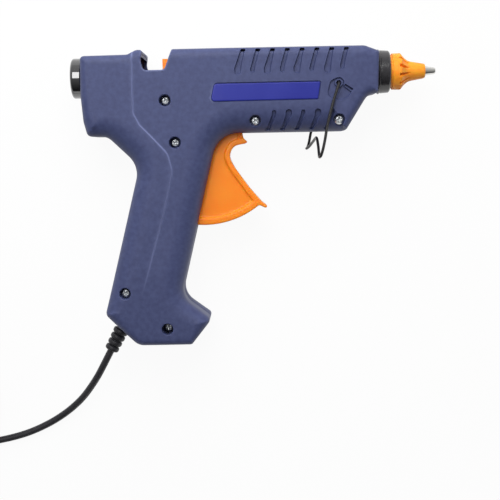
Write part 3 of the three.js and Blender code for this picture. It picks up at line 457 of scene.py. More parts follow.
# %% Distances
def distance_into(points, loop, values=None):
    """How far each point lies inside a closed loop, negative outside, as whole arrays.

    The distance is the least one to any of the loop's segments; a point is inside when a ray from it
    crosses the loop an odd number of times. With values, one row per loop point, it also returns
    their blend at the nearest place.
    """
    start, end = loop, np.roll(loop, -1, 0)
    step = end - start
    square = np.maximum((step ** 2).sum(1), 1e-12)
    result, found = np.empty(len(points)), []
    for chunk in np.array_split(np.arange(len(points)), max(1, len(points) * len(loop) // 3_000_000)):
        p = points[chunk, None]
        share = np.clip(((p - start) * step).sum(2) / square, 0, 1)
        apart = ((start + share[..., None] * step - p) ** 2).sum(2)
        nearest = apart.argmin(1)
        rows = np.arange(len(chunk))
        above = (start[:, 1] > p[..., 1]) != (end[:, 1] > p[..., 1])
        rise = np.where(abs(step[:, 1]) < 1e-12, 1e-12, step[:, 1])
        across = start[:, 0] + (p[..., 1] - start[:, 1]) * step[:, 0] / rise
        inside = ((above & (p[..., 0] < across)).sum(1) % 2) == 1
        result[chunk] = np.sqrt(apart[rows, nearest]) * np.where(inside, 1, -1)
        if values is not None:
            s = share[rows, nearest][:, None]
            found.append(values[nearest] * (1 - s) + np.roll(values, -1, 0)[nearest] * s)
    return result if values is None else (result, np.concatenate(found))


def distance_from(points, place):
    """The distance of each point from one place: sqrt(x ** 2 + y ** 2)."""
    return np.hypot(*(points - place).T)


def box_round(points, loop, margin):
    """Marks the points in the box round a loop, so that only those need to be measured."""
    return ((points > loop.min(0) - margin) & (points < loop.max(0) + margin)).all(1)


def sunk_share(points, loop, wall):
    """0 outside a loop, and rising to 1 across a sloping wall of this width inside it."""
    share = np.zeros(len(points))
    close = box_round(points, loop, 1)
    share[close] = blend(distance_into(points[close], loop) / wall)
    return share

# %% [markdown]
# ## Housing: relief
# Everything that a mould sinks into or raises from the side face is a closed outline with a depth
# and a sloping wall: vent grooves with a round end, slots at the barrel's edges, the label's bed,
# screw wells, the pocket where the stand turns, and the step where the rear block stands proud of
# the barrel. Cutting them as solids would leave ragged faces, so the side face is drawn as a height
# above the seam instead, and the relief is subtracted from it.

# %% Relief outlines
SCREWS = np.array([
    [-27.4, -13.8], [-22.5, -36.9], [21.9, -25.8], [68.2, -26], [-52.6, -120.2], [-29.5, -140.7]])
SUNK = np.array([0, 0, 0, 0, 0, 5.0])            # the screw in the toe sits deep in its well
WELL_RADIUS, WELL_FLOOR, WELL_WALL = 3.1, 13.0, 1.6
STAND_PIVOT = np.array([68.1, -6.1])


def vent(x, top, low_x, low, bulb, neck):
    """A groove that widens into a round foot leaning back: its two sides touch the foot's circle."""
    side = np.sign(top - low)
    return outline([
        (x - neck * side, top, 0.3), (low_x - bulb * side, low + bulb * side, bulb * 0.9),
        (low_x - bulb * 0.9 * side, low - bulb * 0.5 * side, bulb * 0.9),
        (low_x + bulb * 0.8 * side, low - bulb * 0.5 * side, bulb * 0.8),
        (low_x + bulb * side, low + bulb * 1.6 * side, bulb * 1.2), (x + neck * side, top, 0.3)], 0.45)


UPPER_ROW, LOWER_ROW = 8.1 * np.arange(8), 32.2 + 8.05 * np.arange(5)
vents = []
for i, x in enumerate(15.8 + UPPER_ROW):            # every second one has a smaller, higher foot
    lean, foot = 2.9 if i < 6 else 2.3, 0.5 if i < 7 else 1.6
    vents.append(vent(x, 13.0, x - lean, foot + (i % 2) * 0.6, 1.35 if i % 2 else 2.0, 1.15))
for i, x in enumerate(LOWER_ROW):
    vents.append(vent(x - 3.4, -31.0, x + 0.1, -20.8, 1.9 if i % 2 else 1.3, 1.1))
slots = [outline(box_corners(x - 1.2, 11.9, x + 1.3, 13.4, 0.4), 0.4) for x in 15.9 + UPPER_ROW]
slots += [outline(box_corners(x - 4.8, -31.4, x - 2, -29.8, 0.4), 0.4) for x in LOWER_ROW]
label_bed = outline([(-2.8, -15.4, 2.4), (57.1, -15.0, 1.0), (58.6, -4.6, 1.0), (-0.2, -4.8, 2.4)], 0.9)
stand_pocket = outline([
    (-2.2, 2.6, 1.6), (-4.8, 0.9, 1.6), (-6.3, -4.6, 2), (-5.3, -7.5, 1.8), (-0.8, -9.5, 5),
    (4.3, -8.6, 3), (7.3, -5.1, 0.8), (3.4, -2.2, 0.5), (1, 1, 0.5)], 0.5, at=STAND_PIVOT)
pocket_slot = outline(
    [(2.9, -1.4, 0.2), (3.5, -0.4, 0.2), (8.0, -3.3, 0.4), (7.3, -4.4, 0.4)], 0.35, at=STAND_PIVOT)
rear_block = outline([
    (-44.5, 2.4, 0.5), (-44.7, -8, 8), (-44.5, -20.5, 5), (-41.3, -26.7, 5), (-34.6, -33.6, 30),
    (-26.4, -42.6, 9), (-23.9, -52.5, 12), (-29.2, -75.0, 40), (-40.2, -113.0, 9), (-50, -144, 5),
    (-90, -144, 0), (-90, 30, 0), (-44.5, 30, 0)])
nose_facet = outline([
    (82.2, 20, 0), (80.1, -1, 20), (76.4, -13.9, 20), (71.6, -34, 0), (99, -34, 0), (99, 20, 0)], 1.2)

LABEL_SUNK = 0.75
BOSS_RADIUS, BOSS_GROOVE, BOSS_HOLE, BOSS_HOLE_DEPTH, POCKET_DEPTH = 2.45, 3.1, 1.5, 3.4, 1.2
relief = [(loop, 1.6, 0.4) for loop in vents]          # outline, depth, width of the sloping wall
relief += [(label_bed, LABEL_SUNK, 0.3), (stand_pocket, 0, 0.45), (pocket_slot, 2.2, 0.35)]


def relief_of(near):
    """The relief that one half has: only the near one has a bed for the label."""
    return [row for row in relief if near or row[0] is not label_bed]


print(len(vents), "vents,", len(slots), "slots,", len(SCREWS), "screw wells")

# %% Height of the side face
TAPER_START, TAPER = 4.0, (19.5 - 16.2) / 87.0     # the nose end is 16.2 from the seam, 87 further on
GRIP_PINCH = 0.5
FOOT_DRAFT, DRAFT_START = 0.0004, -85
STEP, STEP_WALL, STEP_END, STEP_FADE = 0.6, 0.7, -120, 42     # it fades out towards the foot
NOSE_FALL = 0.045                 # how steeply the facet by the collar falls away
SLOT_FLOOR, WELL_RIM = 11.0, 0.35
WINDOW_ROUND = 0.8
POCKET_WALL, GROOVE_WALL, BOSS_WALL, SLOT_WALL, WELL_SIDE = 0.45, 0.35, 0.3, 0.3, 0.12


def side_at(points):
    """The side face above the seam: highest on the rear block, one step lower in front of it, and
    closing in to the nose, to the grip's waist and, as a parabola, to the foot's underside."""
    x, y = points.T
    down = np.clip((y - BARREL_BOTTOM + 2) / (HEEL_Y - BARREL_BOTTOM + 2), 0, 1)
    pinch = GRIP_PINCH * np.sin(np.pi * down) ** 2
    step = STEP * (1 - sunk_share(points, rear_block, STEP_WALL)) * blend((y - STEP_END) / STEP_FADE)
    draft = FOOT_DRAFT * np.maximum(DRAFT_START - y, 0) ** 2
    return HALF - TAPER * np.maximum(x - TAPER_START, 0) - pinch - draft - step


def edge_drop(depth_in, width, drop):
    """A quarter of an ellipse: how far an edge's round lies below the face, this far in from it."""
    share = np.clip(1 - depth_in / width, 0, 1)
    return drop * (1 - np.sqrt(1 - share * share))


def side_height(points, near, shrink=0.0):
    """Height above the seam at each point: face, minus edge round, minus relief.

    With shrink it gives the inner face of the wall, that far inside the outer one.
    """
    inside, rounds = distance_into(points, case_loop, edge_values)
    inside = np.maximum(inside - shrink, 0)
    height = side_at(points) - shrink - edge_drop(
        inside, np.maximum(rounds[:, 0] - shrink, 0.6), np.maximum(rounds[:, 1] - shrink, 0.6))
    height -= NOSE_FALL * np.maximum(distance_into(points, nose_facet), 0)
    wells = list(zip(SCREWS, WELL_FLOOR - SUNK)) if near else []
    if shrink:
        for place, floor in wells:             # the wells' own walls and floors, seen from inside
            lowered = np.minimum(height, floor - WELL_WALL)
            height = np.where(distance_from(points, place) < WELL_RADIUS + WELL_WALL, lowered, height)
        return height
    height -= edge_drop(-distance_into(points, window_loop), WINDOW_ROUND, WINDOW_ROUND)
    for loop, depth, wall in relief_of(near):
        height -= depth * sunk_share(points, loop, wall)
    reach = distance_from(points, STAND_PIVOT)
    pocket = sunk_share(points, stand_pocket, POCKET_WALL)
    pocket = np.maximum(pocket, blend((BOSS_GROOVE - reach) / GROOVE_WALL))
    pocket *= 1 - blend((BOSS_RADIUS - reach) / BOSS_WALL)
    height -= POCKET_DEPTH * pocket + BOSS_HOLE_DEPTH * blend((BOSS_HOLE - reach) / BOSS_WALL)
    for loop in slots:
        height += (np.minimum(height, SLOT_FLOOR) - height) * sunk_share(points, loop, SLOT_WALL)
    for place, floor in wells:
        reach = WELL_RADIUS + WELL_RIM - distance_from(points, place)
        height -= WELL_RIM * blend(reach / WELL_RIM)
        height += (floor - height) * blend((reach - WELL_RIM) / WELL_SIDE)
    return height


def edge_table(edge, columns):
    """The columns' values at places round the outline, blended from edge to edge along a fillet."""
    low = np.floor(edge).astype(int) % len(columns)
    share = (edge - np.floor(edge))[:, None]
    return columns[low] * (1 - share) + columns[(low + 1) % len(columns)] * share


edge_values = edge_table(case_edge, housing_rows[:, 3:5])
behind_nose = blend((70 - case_loop[:, :1]) / 10)    # there, two rounds are alike where they meet
edge_values = edge_values * (1 - behind_nose) + eased(edge_values, 160) * behind_nose

# %% [markdown]
# ## Housing: the mesh of a side face
# The points come in rows that follow each feature: rows along the outline where the edge turns over,
# and five rows along each wall of the relief, so that every wall starts and ends crisply. A loose
# field of points fills the rest. A Delaunay triangulation joins them, and each point's height comes
# from the one formula above.

# %% Side face
def rows_inside(loop, depths):
    """The loop moved inwards by each depth, whichever way round it runs: each point moves square to
    the line between its two neighbours, to the side that the sign of the loop's area tells."""
    ahead, behind = np.roll(loop, -1, 0), np.roll(loop, 1, 0)
    normal = left_of(unit(ahead - behind)) * np.sign(crossed(loop, ahead).sum())
    return [loop + normal * depth for depth in depths]


def field(loop, pitch):
    """A field of points in rows, every other row shifted by half a pitch."""
    low, high = loop.min(0), loop.max(0)
    x, y = np.meshgrid(np.arange(low[0], high[0], pitch), np.arange(low[1], high[1], pitch * 0.866))
    x = x + (np.arange(len(y)) % 2)[:, None] * pitch / 2
    return np.stack([x.ravel(), y.ravel()], 1)


def triangles_over(boundary, points):
    """Delaunay triangles of the boundary and the points inside it.

    Returns the coordinates, the triangles' corners, and the places of the boundary's own points.
    """
    every = np.vstack([boundary, points])
    ring = np.arange(len(boundary))
    edges = np.stack([ring, np.roll(ring, -1)], 1).tolist()
    found, _, faces, sources, *_ = delaunay_2d_cdt(every.tolist(), edges, [], 1, 1e-7)
    source = np.array([rows[0] if rows else 0 for rows in sources])
    order = np.empty(len(every), int)
    order[source] = np.arange(len(source))
    return every[source], [list(face) for face in faces], order[ring]


CLEAR = 0.62                      # how far other rows stay from the rows of a feature
ROUND_ROWS = np.array([0.3, 0.15, 0])
WELL_ROWS = (0.7, 0.35, 0.18, 0, -0.06, -0.12, -0.6)
CREASE_ROWS = (-0.3, 0, 0.17, 0.35, 0.53, 0.7, 1.0)


def face_points(near):
    """All rows of points for one side face, thinned where two features' rows would collide."""
    wall_rows = []
    for loop, _, wall in relief_of(near) + [(loop, 0, SLOT_WALL) for loop in slots]:
        wall_rows += rows_inside(loop, [-0.3, 0, wall / 2, wall, wall + 0.3])
    rings = [*BOSS_HOLE - ROUND_ROWS, *BOSS_RADIUS - ROUND_ROWS,
             BOSS_GROOVE - 0.35, BOSS_GROOVE - 0.15, BOSS_GROOVE, BOSS_GROOVE + 0.3]
    wall_rows += [circle(*STAND_PIVOT, r, 0.4) for r in rings]
    busy = [loop for loop, _, _ in relief_of(near)] + slots
    for place in SCREWS if near else []:
        wall_rows += [circle(*place, WELL_RADIUS + r, 0.55) for r in WELL_ROWS]
        busy.append(circle(*place, WELL_RADIUS))
    wall_rows = np.vstack(wall_rows)

    def away(points):
        keep = np.ones(len(points), bool)
        for loop in busy:
            close = box_round(points, loop, 2)
            keep[np.flatnonzero(close)[abs(distance_into(points[close], loop) - 0.15) < CLEAR]] = False
        reach = distance_from(points, STAND_PIVOT)
        return points[keep & ((reach > BOSS_GROOVE + 0.4) | (reach < BOSS_HOLE - 0.4))]

    normal = rows_inside(case_loop, [1])[0] - case_loop
    turning = []
    for angle in np.radians([14, 27, 39, 51, 63, 75, 90]):
        depth = edge_values[:, :1] * (1 - np.cos(angle))
        row = case_loop + normal * depth
        true_depth = distance_into(row, case_loop)
        turning.append(row[true_depth > depth[:, 0] * 0.93 - 0.02])
    creases = rows_inside(rear_block, CREASE_ROWS) + rows_inside(nose_facet, [0])
    rim = rows_inside(window_loop, [-0.12, -0.35, -0.8, -1.1])
    loose = field(case_loop, 2.2)
    crowd = abs(distance_into(loose, rear_block) - 0.35)
    loose = loose[(crowd > 1.2) & (distance_into(loose, case_loop) > 1.1)]
    every = np.vstack([wall_rows, away(np.vstack([*turning, *creases, *rim, loose]))])
    return thinned(every[distance_into(every, open_loop) > 0.07], 0.09)


# %% [markdown]
# ## Housing: the wall and its openings
# A half is a hollow shell. Its side wall stands on the seam, and in a few places it stops short of
# it: at the trigger's slot, at the round holes for the inlet, the nozzle and the cord, and at the
# stick window. One number for each point of the outline says where the wall starts, and that is
# enough to leave every opening.

# %% Shell halves
PIVOT = np.array([-7.5, -34.1])
TRIGGER_REACH, TRIGGER_HALF = 49.1, 7.0
BOOT_AT, BOOT_ALONG = np.array([-56.0, -140.2]), np.array([-0.471, -0.882])
INLET_HOLE, NOSE_HOLE, CORD_HOLE = 9.3, 9.2, 3.4       # radii
SLOT_REAR, SLOT_FRONT, SLOT_TOP = -16, 19.2, -31       # where the blade goes in


def wall_start(points):
    """The height above the seam where the wall starts, at each point of the outline."""
    x, y = points.T
    start = np.full(len(points), SEAM)
    slot = (x > SLOT_REAR) & (x < SLOT_FRONT) & (y < SLOT_TOP) & (y > PIVOT[1] - TRIGGER_REACH - 8)
    slot &= distance_from(points, PIVOT) < TRIGGER_REACH + 0.7
    start[slot] = TRIGGER_HALF + 0.8
    for radius, end in ((INLET_HOLE, x < -70), (NOSE_HOLE, x > 85)):
        hole = end & (abs(y) < radius)
        start[hole] = np.maximum(np.sqrt(radius ** 2 - y[hole] ** 2), SEAM)
    across = (points - BOOT_AT) @ np.array([-BOOT_ALONG[1], BOOT_ALONG[0]])
    hole = (abs(across) < CORD_HOLE) & (distance_from(points, BOOT_AT) < 6)
    start[hole] = np.sqrt(CORD_HOLE ** 2 - across[hole] ** 2)
    cut = window_edge & (y < BARREL_TOP - WALL)
    start[cut] = side_height(points[cut], False, WALL)
    return start


def inner_outline():
    """The outline moved in by the wall, edge by edge, and hardly at all round the window."""
    tips, radii = open_rows[:, :2], open_rows[:, 2]
    inset = np.full(len(tips), WALL)
    inset[TOP_EDGE + 1:TOP_EDGE + 4] = 0.03
    along = unit(np.roll(tips, -1, 0) - tips)
    start = tips - left_of(along) * inset[:, None]
    before, before_start = np.roll(along, 1, 0), np.roll(start, 1, 0)
    cross = crossed(before, along)
    reach = crossed(start - before_start, along) / cross
    moved = before_start + before * reach[:, None]
    radii = radii + np.sign(cross) * np.minimum(inset, np.roll(inset, 1))
    return outline(np.column_stack([moved, np.maximum(radii, 0.3)]), counts=open_counts)


def shell(name, near):
    """One half: the side face, the wall under it, its rim at the seam, and the same inside."""
    count = len(open_loop)
    start = wall_start(open_loop)
    top = side_height(open_loop, near)
    start = np.minimum(start, top - 0.3)
    ease = rows_inside(open_loop, [0.22])[0]
    inner = inner_outline()
    inner_top = np.maximum(side_height(inner, near, WALL), start + 0.05)
    rings = [(open_loop, top), (open_loop, np.minimum(start + 0.28, top - 0.02)), (ease, start),
             (inner, start), (inner, inner_top)]
    points = [np.vstack([np.column_stack(ring) for ring in rings])]
    faces = grid_faces(len(rings), count, close_columns=True)
    flat, cap, _ = triangles_over(open_loop, face_points(near))
    points.append(np.column_stack([flat, side_height(flat, near)]))
    faces += (np.array(cap) + len(rings) * count).tolist()
    wells = [circle(x, y, WELL_RADIUS + r, 1.4) for x, y in SCREWS for r in (1.5, 1.75)] if near else []
    loose = np.vstack([field(inner, 3.4), *wells])
    flat, cap, ring = triangles_over(inner, loose[distance_into(loose, inner) > 0.8])
    height = side_height(flat, near, WALL)
    height[ring] = inner_top
    points.append(np.column_stack([flat, height]))
    faces += (np.array(cap) + sum(len(rows) for rows in points[:-1])).tolist()
    points = np.vstack(points)
    points[:, 2] = HALF + points[:, 2] * (1 if near else -1)
    return add_piece(name, points, faces, "housing", "housing", sharp=50)


shell_near = shell("housing_near", True)
shell_far = shell("housing_far", False)


def paint_edge_highlights(piece, near):
    """Marks a painted highlight, pale lines that stand in for light caught on edges: exp(-(d / width)
    ** 2), where d is the distance in millimetres from the step's edge, from the window's rim or from
    the end of the label's bed."""
    place = np.empty(3 * len(piece.data.vertices))
    piece.data.vertices.foreach_get("co", place)
    points = place.reshape(-1, 3)[:, :2] / MM

    def highlight_line(loop, depth, width):
        return np.exp(-((distance_into(points, loop) - depth) / width) ** 2)

    # painted highlight: pale lines along the step, the window's rim and the label bed's end
    step = highlight_line(rear_block, 0.4, 0.45) * blend((points[:, 1] + 125) / 30)
    rim = 0.6 * highlight_line(window_loop, -0.3, 0.35)
    bed = near * 0.7 * highlight_line(label_bed, -0.15, 0.35) * blend(-points[:, 0] / 2.5)
    mark = piece.data.attributes.new("painted_edge_highlight", "FLOAT", "POINT")
    mark.data.foreach_set("value", np.max([step, rim, bed], 0).astype(np.float32))


paint_edge_highlights(shell_near, True)
paint_edge_highlights(shell_far, False)
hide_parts("shell_near")
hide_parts("shell_far")

# %% [markdown]
# ## Trigger
# The blade is a sunk web between two flanges: the finger rests on the front one, and the lower one
# is an arc about the pivot, so that the gap to the grip stays shut at any squeeze. Like the housing,
# each side is drawn as a height over an outline, and the two sides mirror each other.

# %% Trigger outline
def from_pivot(reach, degrees):
    """A point at a distance and an angle from the trigger's pivot."""
    return PIVOT + polar(reach, np.radians(degrees))


def evenly(points, spacing):
    """A closed row of points cut again at one even spacing along its length."""
    closed = np.vstack([points, points[:1]])
    along = np.concatenate([[0], np.cumsum(np.linalg.norm(np.diff(closed, axis=0), axis=1))])
    at = np.linspace(0, along[-1], max(8, int(along[-1] / spacing)), endpoint=False)
    return np.stack([np.interp(at, along, closed[:, k]) for k in range(closed.shape[1])], 1)


RIM_HALF, WEB_HALF, WEB_WALL = TRIGGER_HALF, 6.1, 0.9
FINGER_RIM, ARC_RIM = 2.5, 3.3
finger = smooth_line(np.vstack([
    from_pivot(38.9, -48.6), PIVOT + [[16.6, -15.9], [14.7, -10.6], [17.1, -5.6], [24.0, -3.8]]]), 40)
finger = np.vstack([from_pivot(TRIGGER_REACH + 4, -48.0), from_pivot(TRIGGER_REACH, -48.8), finger])
blade_loop = eased(evenly(np.vstack([
    from_pivot(TRIGGER_REACH + 0.2, np.linspace(-97.7, -51.5, 50)),
    from_pivot(TRIGGER_REACH + 4, -49.6), finger,
    PIVOT + [[24.9, -3.0], [22.5, -0.9], [21.5, 4.5], [3.5, 5.5], [-5.5, -0.9]]]), 0.5), 3)
web_front = finger + left_of(unit(np.gradient(finger, axis=0))) * FINGER_RIM
web_loop = np.vstack([
    from_pivot(TRIGGER_REACH - ARC_RIM, np.linspace(-110, -52.5, 60)), web_front[3:-3],
    PIVOT + [[22.6, -1.6], [22.6, 12], [-20, 12]]])
RIDGES = PIVOT[0] + np.array([18.9, 20.2, 21.5])
EDGE_ROUND, RIDGE_SHARE = 0.7, 0.55


def blade_height(points):
    """Half the blade's thickness: flange, minus a sunk web with sloped walls, plus three ridges."""
    edge = distance_into(points, blade_loop)
    sunk = (RIM_HALF - WEB_HALF) * sunk_share(points, web_loop, WEB_WALL)
    ridge = np.max([blend(1.4 - abs(points[:, 0] - x) / 0.32) for x in RIDGES], 0)
    ridge *= blend((points[:, 1] - PIVOT[1] + 8) / 2)
    drop = edge_drop(np.maximum(edge, 0), EDGE_ROUND, EDGE_ROUND) * (1 - sunk / 4)
    return RIM_HALF - sunk + ridge * sunk * RIDGE_SHARE - drop


# %% Trigger blade
def two_sided(loop, points, height, middle):
    """A closed body whose two sides mirror each other in the plane z = middle."""
    flat, cap, ring = triangles_over(loop, points)
    count = len(flat)
    rise = height(flat)
    body = np.vstack([np.column_stack([flat, middle + rise]), np.column_stack([flat, middle - rise])])
    ahead = np.roll(ring, -1)
    faces = [*cap, *[[k + count for k in face] for face in cap]]
    faces += np.stack([ring, ahead, ahead + count, ring + count], 1).tolist()
    return body, faces


blade_rows = np.vstack([
    *rows_inside(blade_loop, [0.03, 0.12, 0.27, 0.5, 0.9]),
    *rows_inside(evenly(web_loop, 0.5), [0, 0.22, 0.45, 0.68, 0.9]),
    *[np.stack([np.full(30, x + e), PIVOT[1] + np.linspace(-8, 5, 30)], 1)
      for x in RIDGES for e in (-0.4, -0.15, 0.15, 0.4)],
    field(blade_loop, 1.6)])
blade_rows = thinned(blade_rows[distance_into(blade_rows, blade_loop) > 0.02], 0.14)
blade = two_sided(blade_loop, blade_rows, blade_height, HALF)

# %% Trigger arm
def slab(loop, low, high, bevel=0.4):
    """A flat plate between two heights, with its edges cut back by a small bevel."""
    small = rows_inside(loop, [bevel])[0]
    rings = [(small, low), (loop, low + bevel), (loop, high - bevel), (small, high)]
    points = np.vstack([np.column_stack([ring, np.full(len(ring), z)]) for ring, z in rings])
    return points, tube_faces(len(rings), len(loop))


def strap_outline(start, end, start_radius, end_radius):
    """Two circles and the two lines that touch both."""
    step = np.array(end) - start
    lean = math.atan2(step[1], step[0])
    open_angle = math.acos((start_radius - end_radius) / np.hypot(*step))
    back = lean + np.linspace(open_angle, 2 * np.pi - open_angle, 28)
    front = lean + np.linspace(-open_angle, open_angle, 20)
    return np.vstack([start + polar(start_radius, back), end + polar(end_radius, front)])


ARM_LENGTH, ARM_LEAN, PEG_RADIUS, FORK_HALF = 20.0, math.radians(13), 1.8, 3.8
peg_at = PIVOT + ARM_LENGTH * np.array([-math.sin(ARM_LEAN), math.cos(ARM_LEAN)])
cheek = strap_outline(PIVOT, peg_at, 5.6, PEG_RADIUS + 1.6)
trigger_body = joined([
    blade,
    slab(cheek, HALF + FORK_HALF, HALF + RIM_HALF), slab(cheek, HALF - RIM_HALF, HALF - FORK_HALF),
    slab(circle(*PIVOT, 6, 0.8), HALF - RIM_HALF, HALF + RIM_HALF),
    slab(circle(*peg_at, PEG_RADIUS), HALF - RIM_HALF + 0.5, HALF + RIM_HALF - 0.5, 0.2)])
trigger = add_piece("trigger_blade", *trigger_body, "trigger", "trigger_orange", sharp=40)
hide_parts("trigger")

# %% [markdown]
# ## Turned parts
# The stick's inlet ring, the front collar, the sleeve and the nozzle are all round about the barrel's
# axis, so each is a profile turned about it. A profile is again a polygon with rounded corners, with
# the distance along the axis as its first number and the radius as its second.

# %% Ring, collar and nozzle
RING_AXIS, NOSE_AXIS = (0, 0.25, HALF), (0, 0.5, HALF)
inlet_profile = outline([
    (-80.5, 8.2, 0.9), (-80.5, 11.25, 1.9), (-74.9, 11.25, 0.15), (-74.9, 9.0, 0.1), (-71, 9.0, 0.2),
    (-71, 6.1, 0.3), (-78.0, 6.1, 1.4)], 0.35)
inlet_ring = turned("inlet_ring_moulding", inlet_profile, "housing", "gloss_black", at=RING_AXIS)
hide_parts("inlet_ring")

collar_profile = outline([
    (86.6, 6.2, 0.2), (86.6, 8.4, 0.2), (90.9, 8.4, 0.2), (90.9, 12.4, 0.25), (91.6, 12.4, 0.3),
    (91.9, 11.7, 0.3), (92.5, 12.0, 0.3), (96.9, 11.7, 0.5), (97.6, 11.0, 0.3), (97.6, 7.2, 0.3),
    (96.2, 6.2, 0.2)], 0.35)
collar = turned("collar_moulding", collar_profile, "housing", "satin_black", at=NOSE_AXIS)
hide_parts("front_collar")

nozzle_profile = outline([
    (76, 0.8, 0.1), (76, 4.2, 0.2), (99.7, 4.2, 0.1), (99.7, 6.2, 0.3), (103.7, 6.2, 0.3),
    (103.7, 4.2, 0.1), (105.2, 4.1, 0.2), (108.5, 3.3, 0.4), (117.6, 2.7, 0.3), (122.8, 1.9, 0.3),
    (123.6, 1.6, 0.2), (123.6, 0.8, 0.05)], 0.5)
nozzle = turned("nozzle_tip", nozzle_profile, "housing", "bright_metal", sides=72, at=NOSE_AXIS)
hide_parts("nozzle")

# %% [markdown]
# ## Nozzle sleeve
# The sleeve is moulded silicone rubber that keeps fingers off the hot brass. Twelve short flutes are
# sunk round its shoulder to stop it turning in the hand. Turning the profile gives a grid over
# distance and angle, and the flutes are a depth that is taken off the radius there.

# %% Nozzle sleeve
FLUTES, FLUTE_DEPTH, FLUTE_TURN, SLEEVE_SIDES = 12, 2.5, 2.93, 240
sleeve_profile = outline([
    (97.8, 6.9, 0.1), (97.8, 9.3, 0.1), (99.0, 9.3, 0.1), (99.0, 10.05, 0.3), (103.8, 10.15, 0.9),
    (105.7, 7.8, 2.2), (107.8, 6.0, 4.0), (109.8, 5.35, 5.0), (117.0, 4.1, 0.5), (117.7, 3.7, 0.35),
    (117.7, 3.0, 0.2), (108.4, 3.4, 0.5), (106, 4.5, 0.3), (104.5, 4.5, 0.2), (104.5, 6.9, 0.2)], 0.28)


def fluted(profile, sides):
    """Radius = profile - depth(x) * notch(angle), with narrow notches round the shoulder."""
    points = turned_points(profile, sides, NOSE_AXIS).reshape(sides, len(profile), 3)
    angle = angles(sides)[:, None]
    x = profile[None, :, 0]
    outside = profile[:, 1] > np.interp(profile[:, 0], [99, 105, 108, 118], [8.5, 6.5, 4.6, 3.4])
    depth = FLUTE_DEPTH * blend((x - 102.6) / 0.6) * blend((109.6 - x) / 5.0) * outside
    notch = blend((np.cos(FLUTES * angle - FLUTE_TURN) - 0.45) / 0.4)
    radius = profile[None, :, 1]
    share = (radius - depth * notch) / radius
    points[..., 1:] = NOSE_AXIS[1:] + (points[..., 1:] - NOSE_AXIS[1:]) * share[..., None]
    return points.reshape(-1, 3)


sleeve = add_piece("sleeve_moulding", fluted(sleeve_profile, SLEEVE_SIDES),
                   grid_faces(SLEEVE_SIDES, len(sleeve_profile), close_rows=True, close_columns=True),
                   "housing", "silicone_orange", sharp=50)
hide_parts("nozzle_sleeve")

# %% [markdown]
# ## Wire stand
# One length of spring wire is bent into two legs with a peak between them, and its two ends turn in
# to the holes that it swings in. A smooth curve through the bends, with a round section, is what a
# wire bender makes too.

# %% Wire stand
WIRE_RADIUS = 0.8
stand_top = HALF - TAPER * (STAND_PIVOT[0] - TAPER_START) + 1.05
near_leg = np.array([
    [68.1, -6.1, 12.7], [68.1, -6.1, stand_top - 1.2], [67.7, -7.5, stand_top],
    [65.2, -15.0, stand_top + 0.2], [62.5, -24.5, stand_top + 0.2], [61.1, -30.6, stand_top + 0.1],
    [60.1, -36.4, stand_top], [58.6, -43, stand_top - 0.4], [57.6, -45.9, stand_top - 1.5],
    [57.0, -46.4, stand_top - 3.2], [56.9, -44.6, stand_top - 5.5], [56.8, -39.6, stand_top - 11.5]])
skew = np.clip((np.arange(len(near_leg)) - 2) / 4, 0, 1)[:, None]
far_leg = near_leg * [1, 1, -1] + skew * [-5.6, 4.9, 0]
far_leg[-2:] = [[52.6, -40.6, 5.5 - stand_top], [54.8, -37.6, 11.5 - stand_top]]
stand_line = smooth_line(np.vstack([near_leg, [[56.3, -35.6, 0]], far_leg[::-1]]) + [0, 0, HALF], 260)
stand = add_piece("stand_wire", *tube(stand_line, WIRE_RADIUS, 14, (1, 0, 0)), "stand", "black_wire")
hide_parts("wire_stand")
print("wire", round(length_of(stand_line)), "mm long")

# %% [markdown]
# ## Return spring
# A coil of steel wire round the stick pushes the carriage back. It is wound with closed end turns,
# so that it stands square on its seats. A helix is an angle and a distance that grow together.

# %% Return spring
SPRING_RADIUS, SPRING_WIRE, SPRING_TURNS, FEED = 7.3, 0.5, 7, 9.0
spring_rear, spring_front = (corner[0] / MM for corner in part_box("return_spring"))
turned_by = np.linspace(0, SPRING_TURNS, SPRING_TURNS * 36)
spring_x = np.interp(turned_by, [0, 1, SPRING_TURNS - 1, SPRING_TURNS], [
    spring_rear + SPRING_WIRE, spring_rear + 3.1 * SPRING_WIRE,       # the end turns lie closed
    spring_front - 3.1 * SPRING_WIRE, spring_front - SPRING_WIRE])
spring_line = np.column_stack([spring_x, polar(SPRING_RADIUS, 2 * np.pi * turned_by) + (0, HALF)])
coil = tube(spring_line, SPRING_WIRE, 10, (1, 0, 0))
spring = add_piece("return_spring_coil", *coil, "housing", "steel")
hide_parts("return_spring")
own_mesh(spring)
print("spring", round(spring_front - spring_rear, 1), "mm, wire", round(length_of(spring_line)), "mm")

# %% [markdown]
# ## Label plate
# A thin printed plate is let into the side. It is left bare here, as blue film under a matt
# varnish. It follows the side face, which closes in towards the nose, and its edges are just
# rounded, so that a line of light shows where it ends.

# %% Label plate
LABEL_THICKNESS = 0.55
label_loop = outline([
    (-2.3, -14.9, 1.9), (56.6, -14.5, 0.7), (58.1, -5.1, 0.7), (-0.4, -5.3, 1.9)], 0.8)


def label_top(points):
    """The side face, less the bed's depth, plus the plate, with a small round at its edge."""
    inside = np.maximum(distance_into(points, label_loop), 0)
    return HALF + side_at(points) - LABEL_SUNK + LABEL_THICKNESS - edge_drop(inside, 0.35, 0.35)


label_rows = np.vstack([*rows_inside(label_loop, [0.04, 0.12, 0.35, 0.9]), field(label_loop, 2.5)])
label_rows = label_rows[distance_into(label_rows, label_loop) > 0.03]
flat, cap, _ = triangles_over(label_loop, label_rows)
label_under = np.column_stack([label_loop, HALF + side_at(label_loop) - LABEL_SUNK - 0.05])
label_rim = np.column_stack([label_loop, label_top(label_loop)])
plate = joined([
    (np.column_stack([flat, label_top(flat)]), cap),
    (np.vstack([label_under, label_rim]), tube_faces(2, len(label_loop))[:-1])])  # one cap, below
label = add_piece("label_film", *plate, "housing", "label_blue", sharp=60)
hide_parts("label_plate")

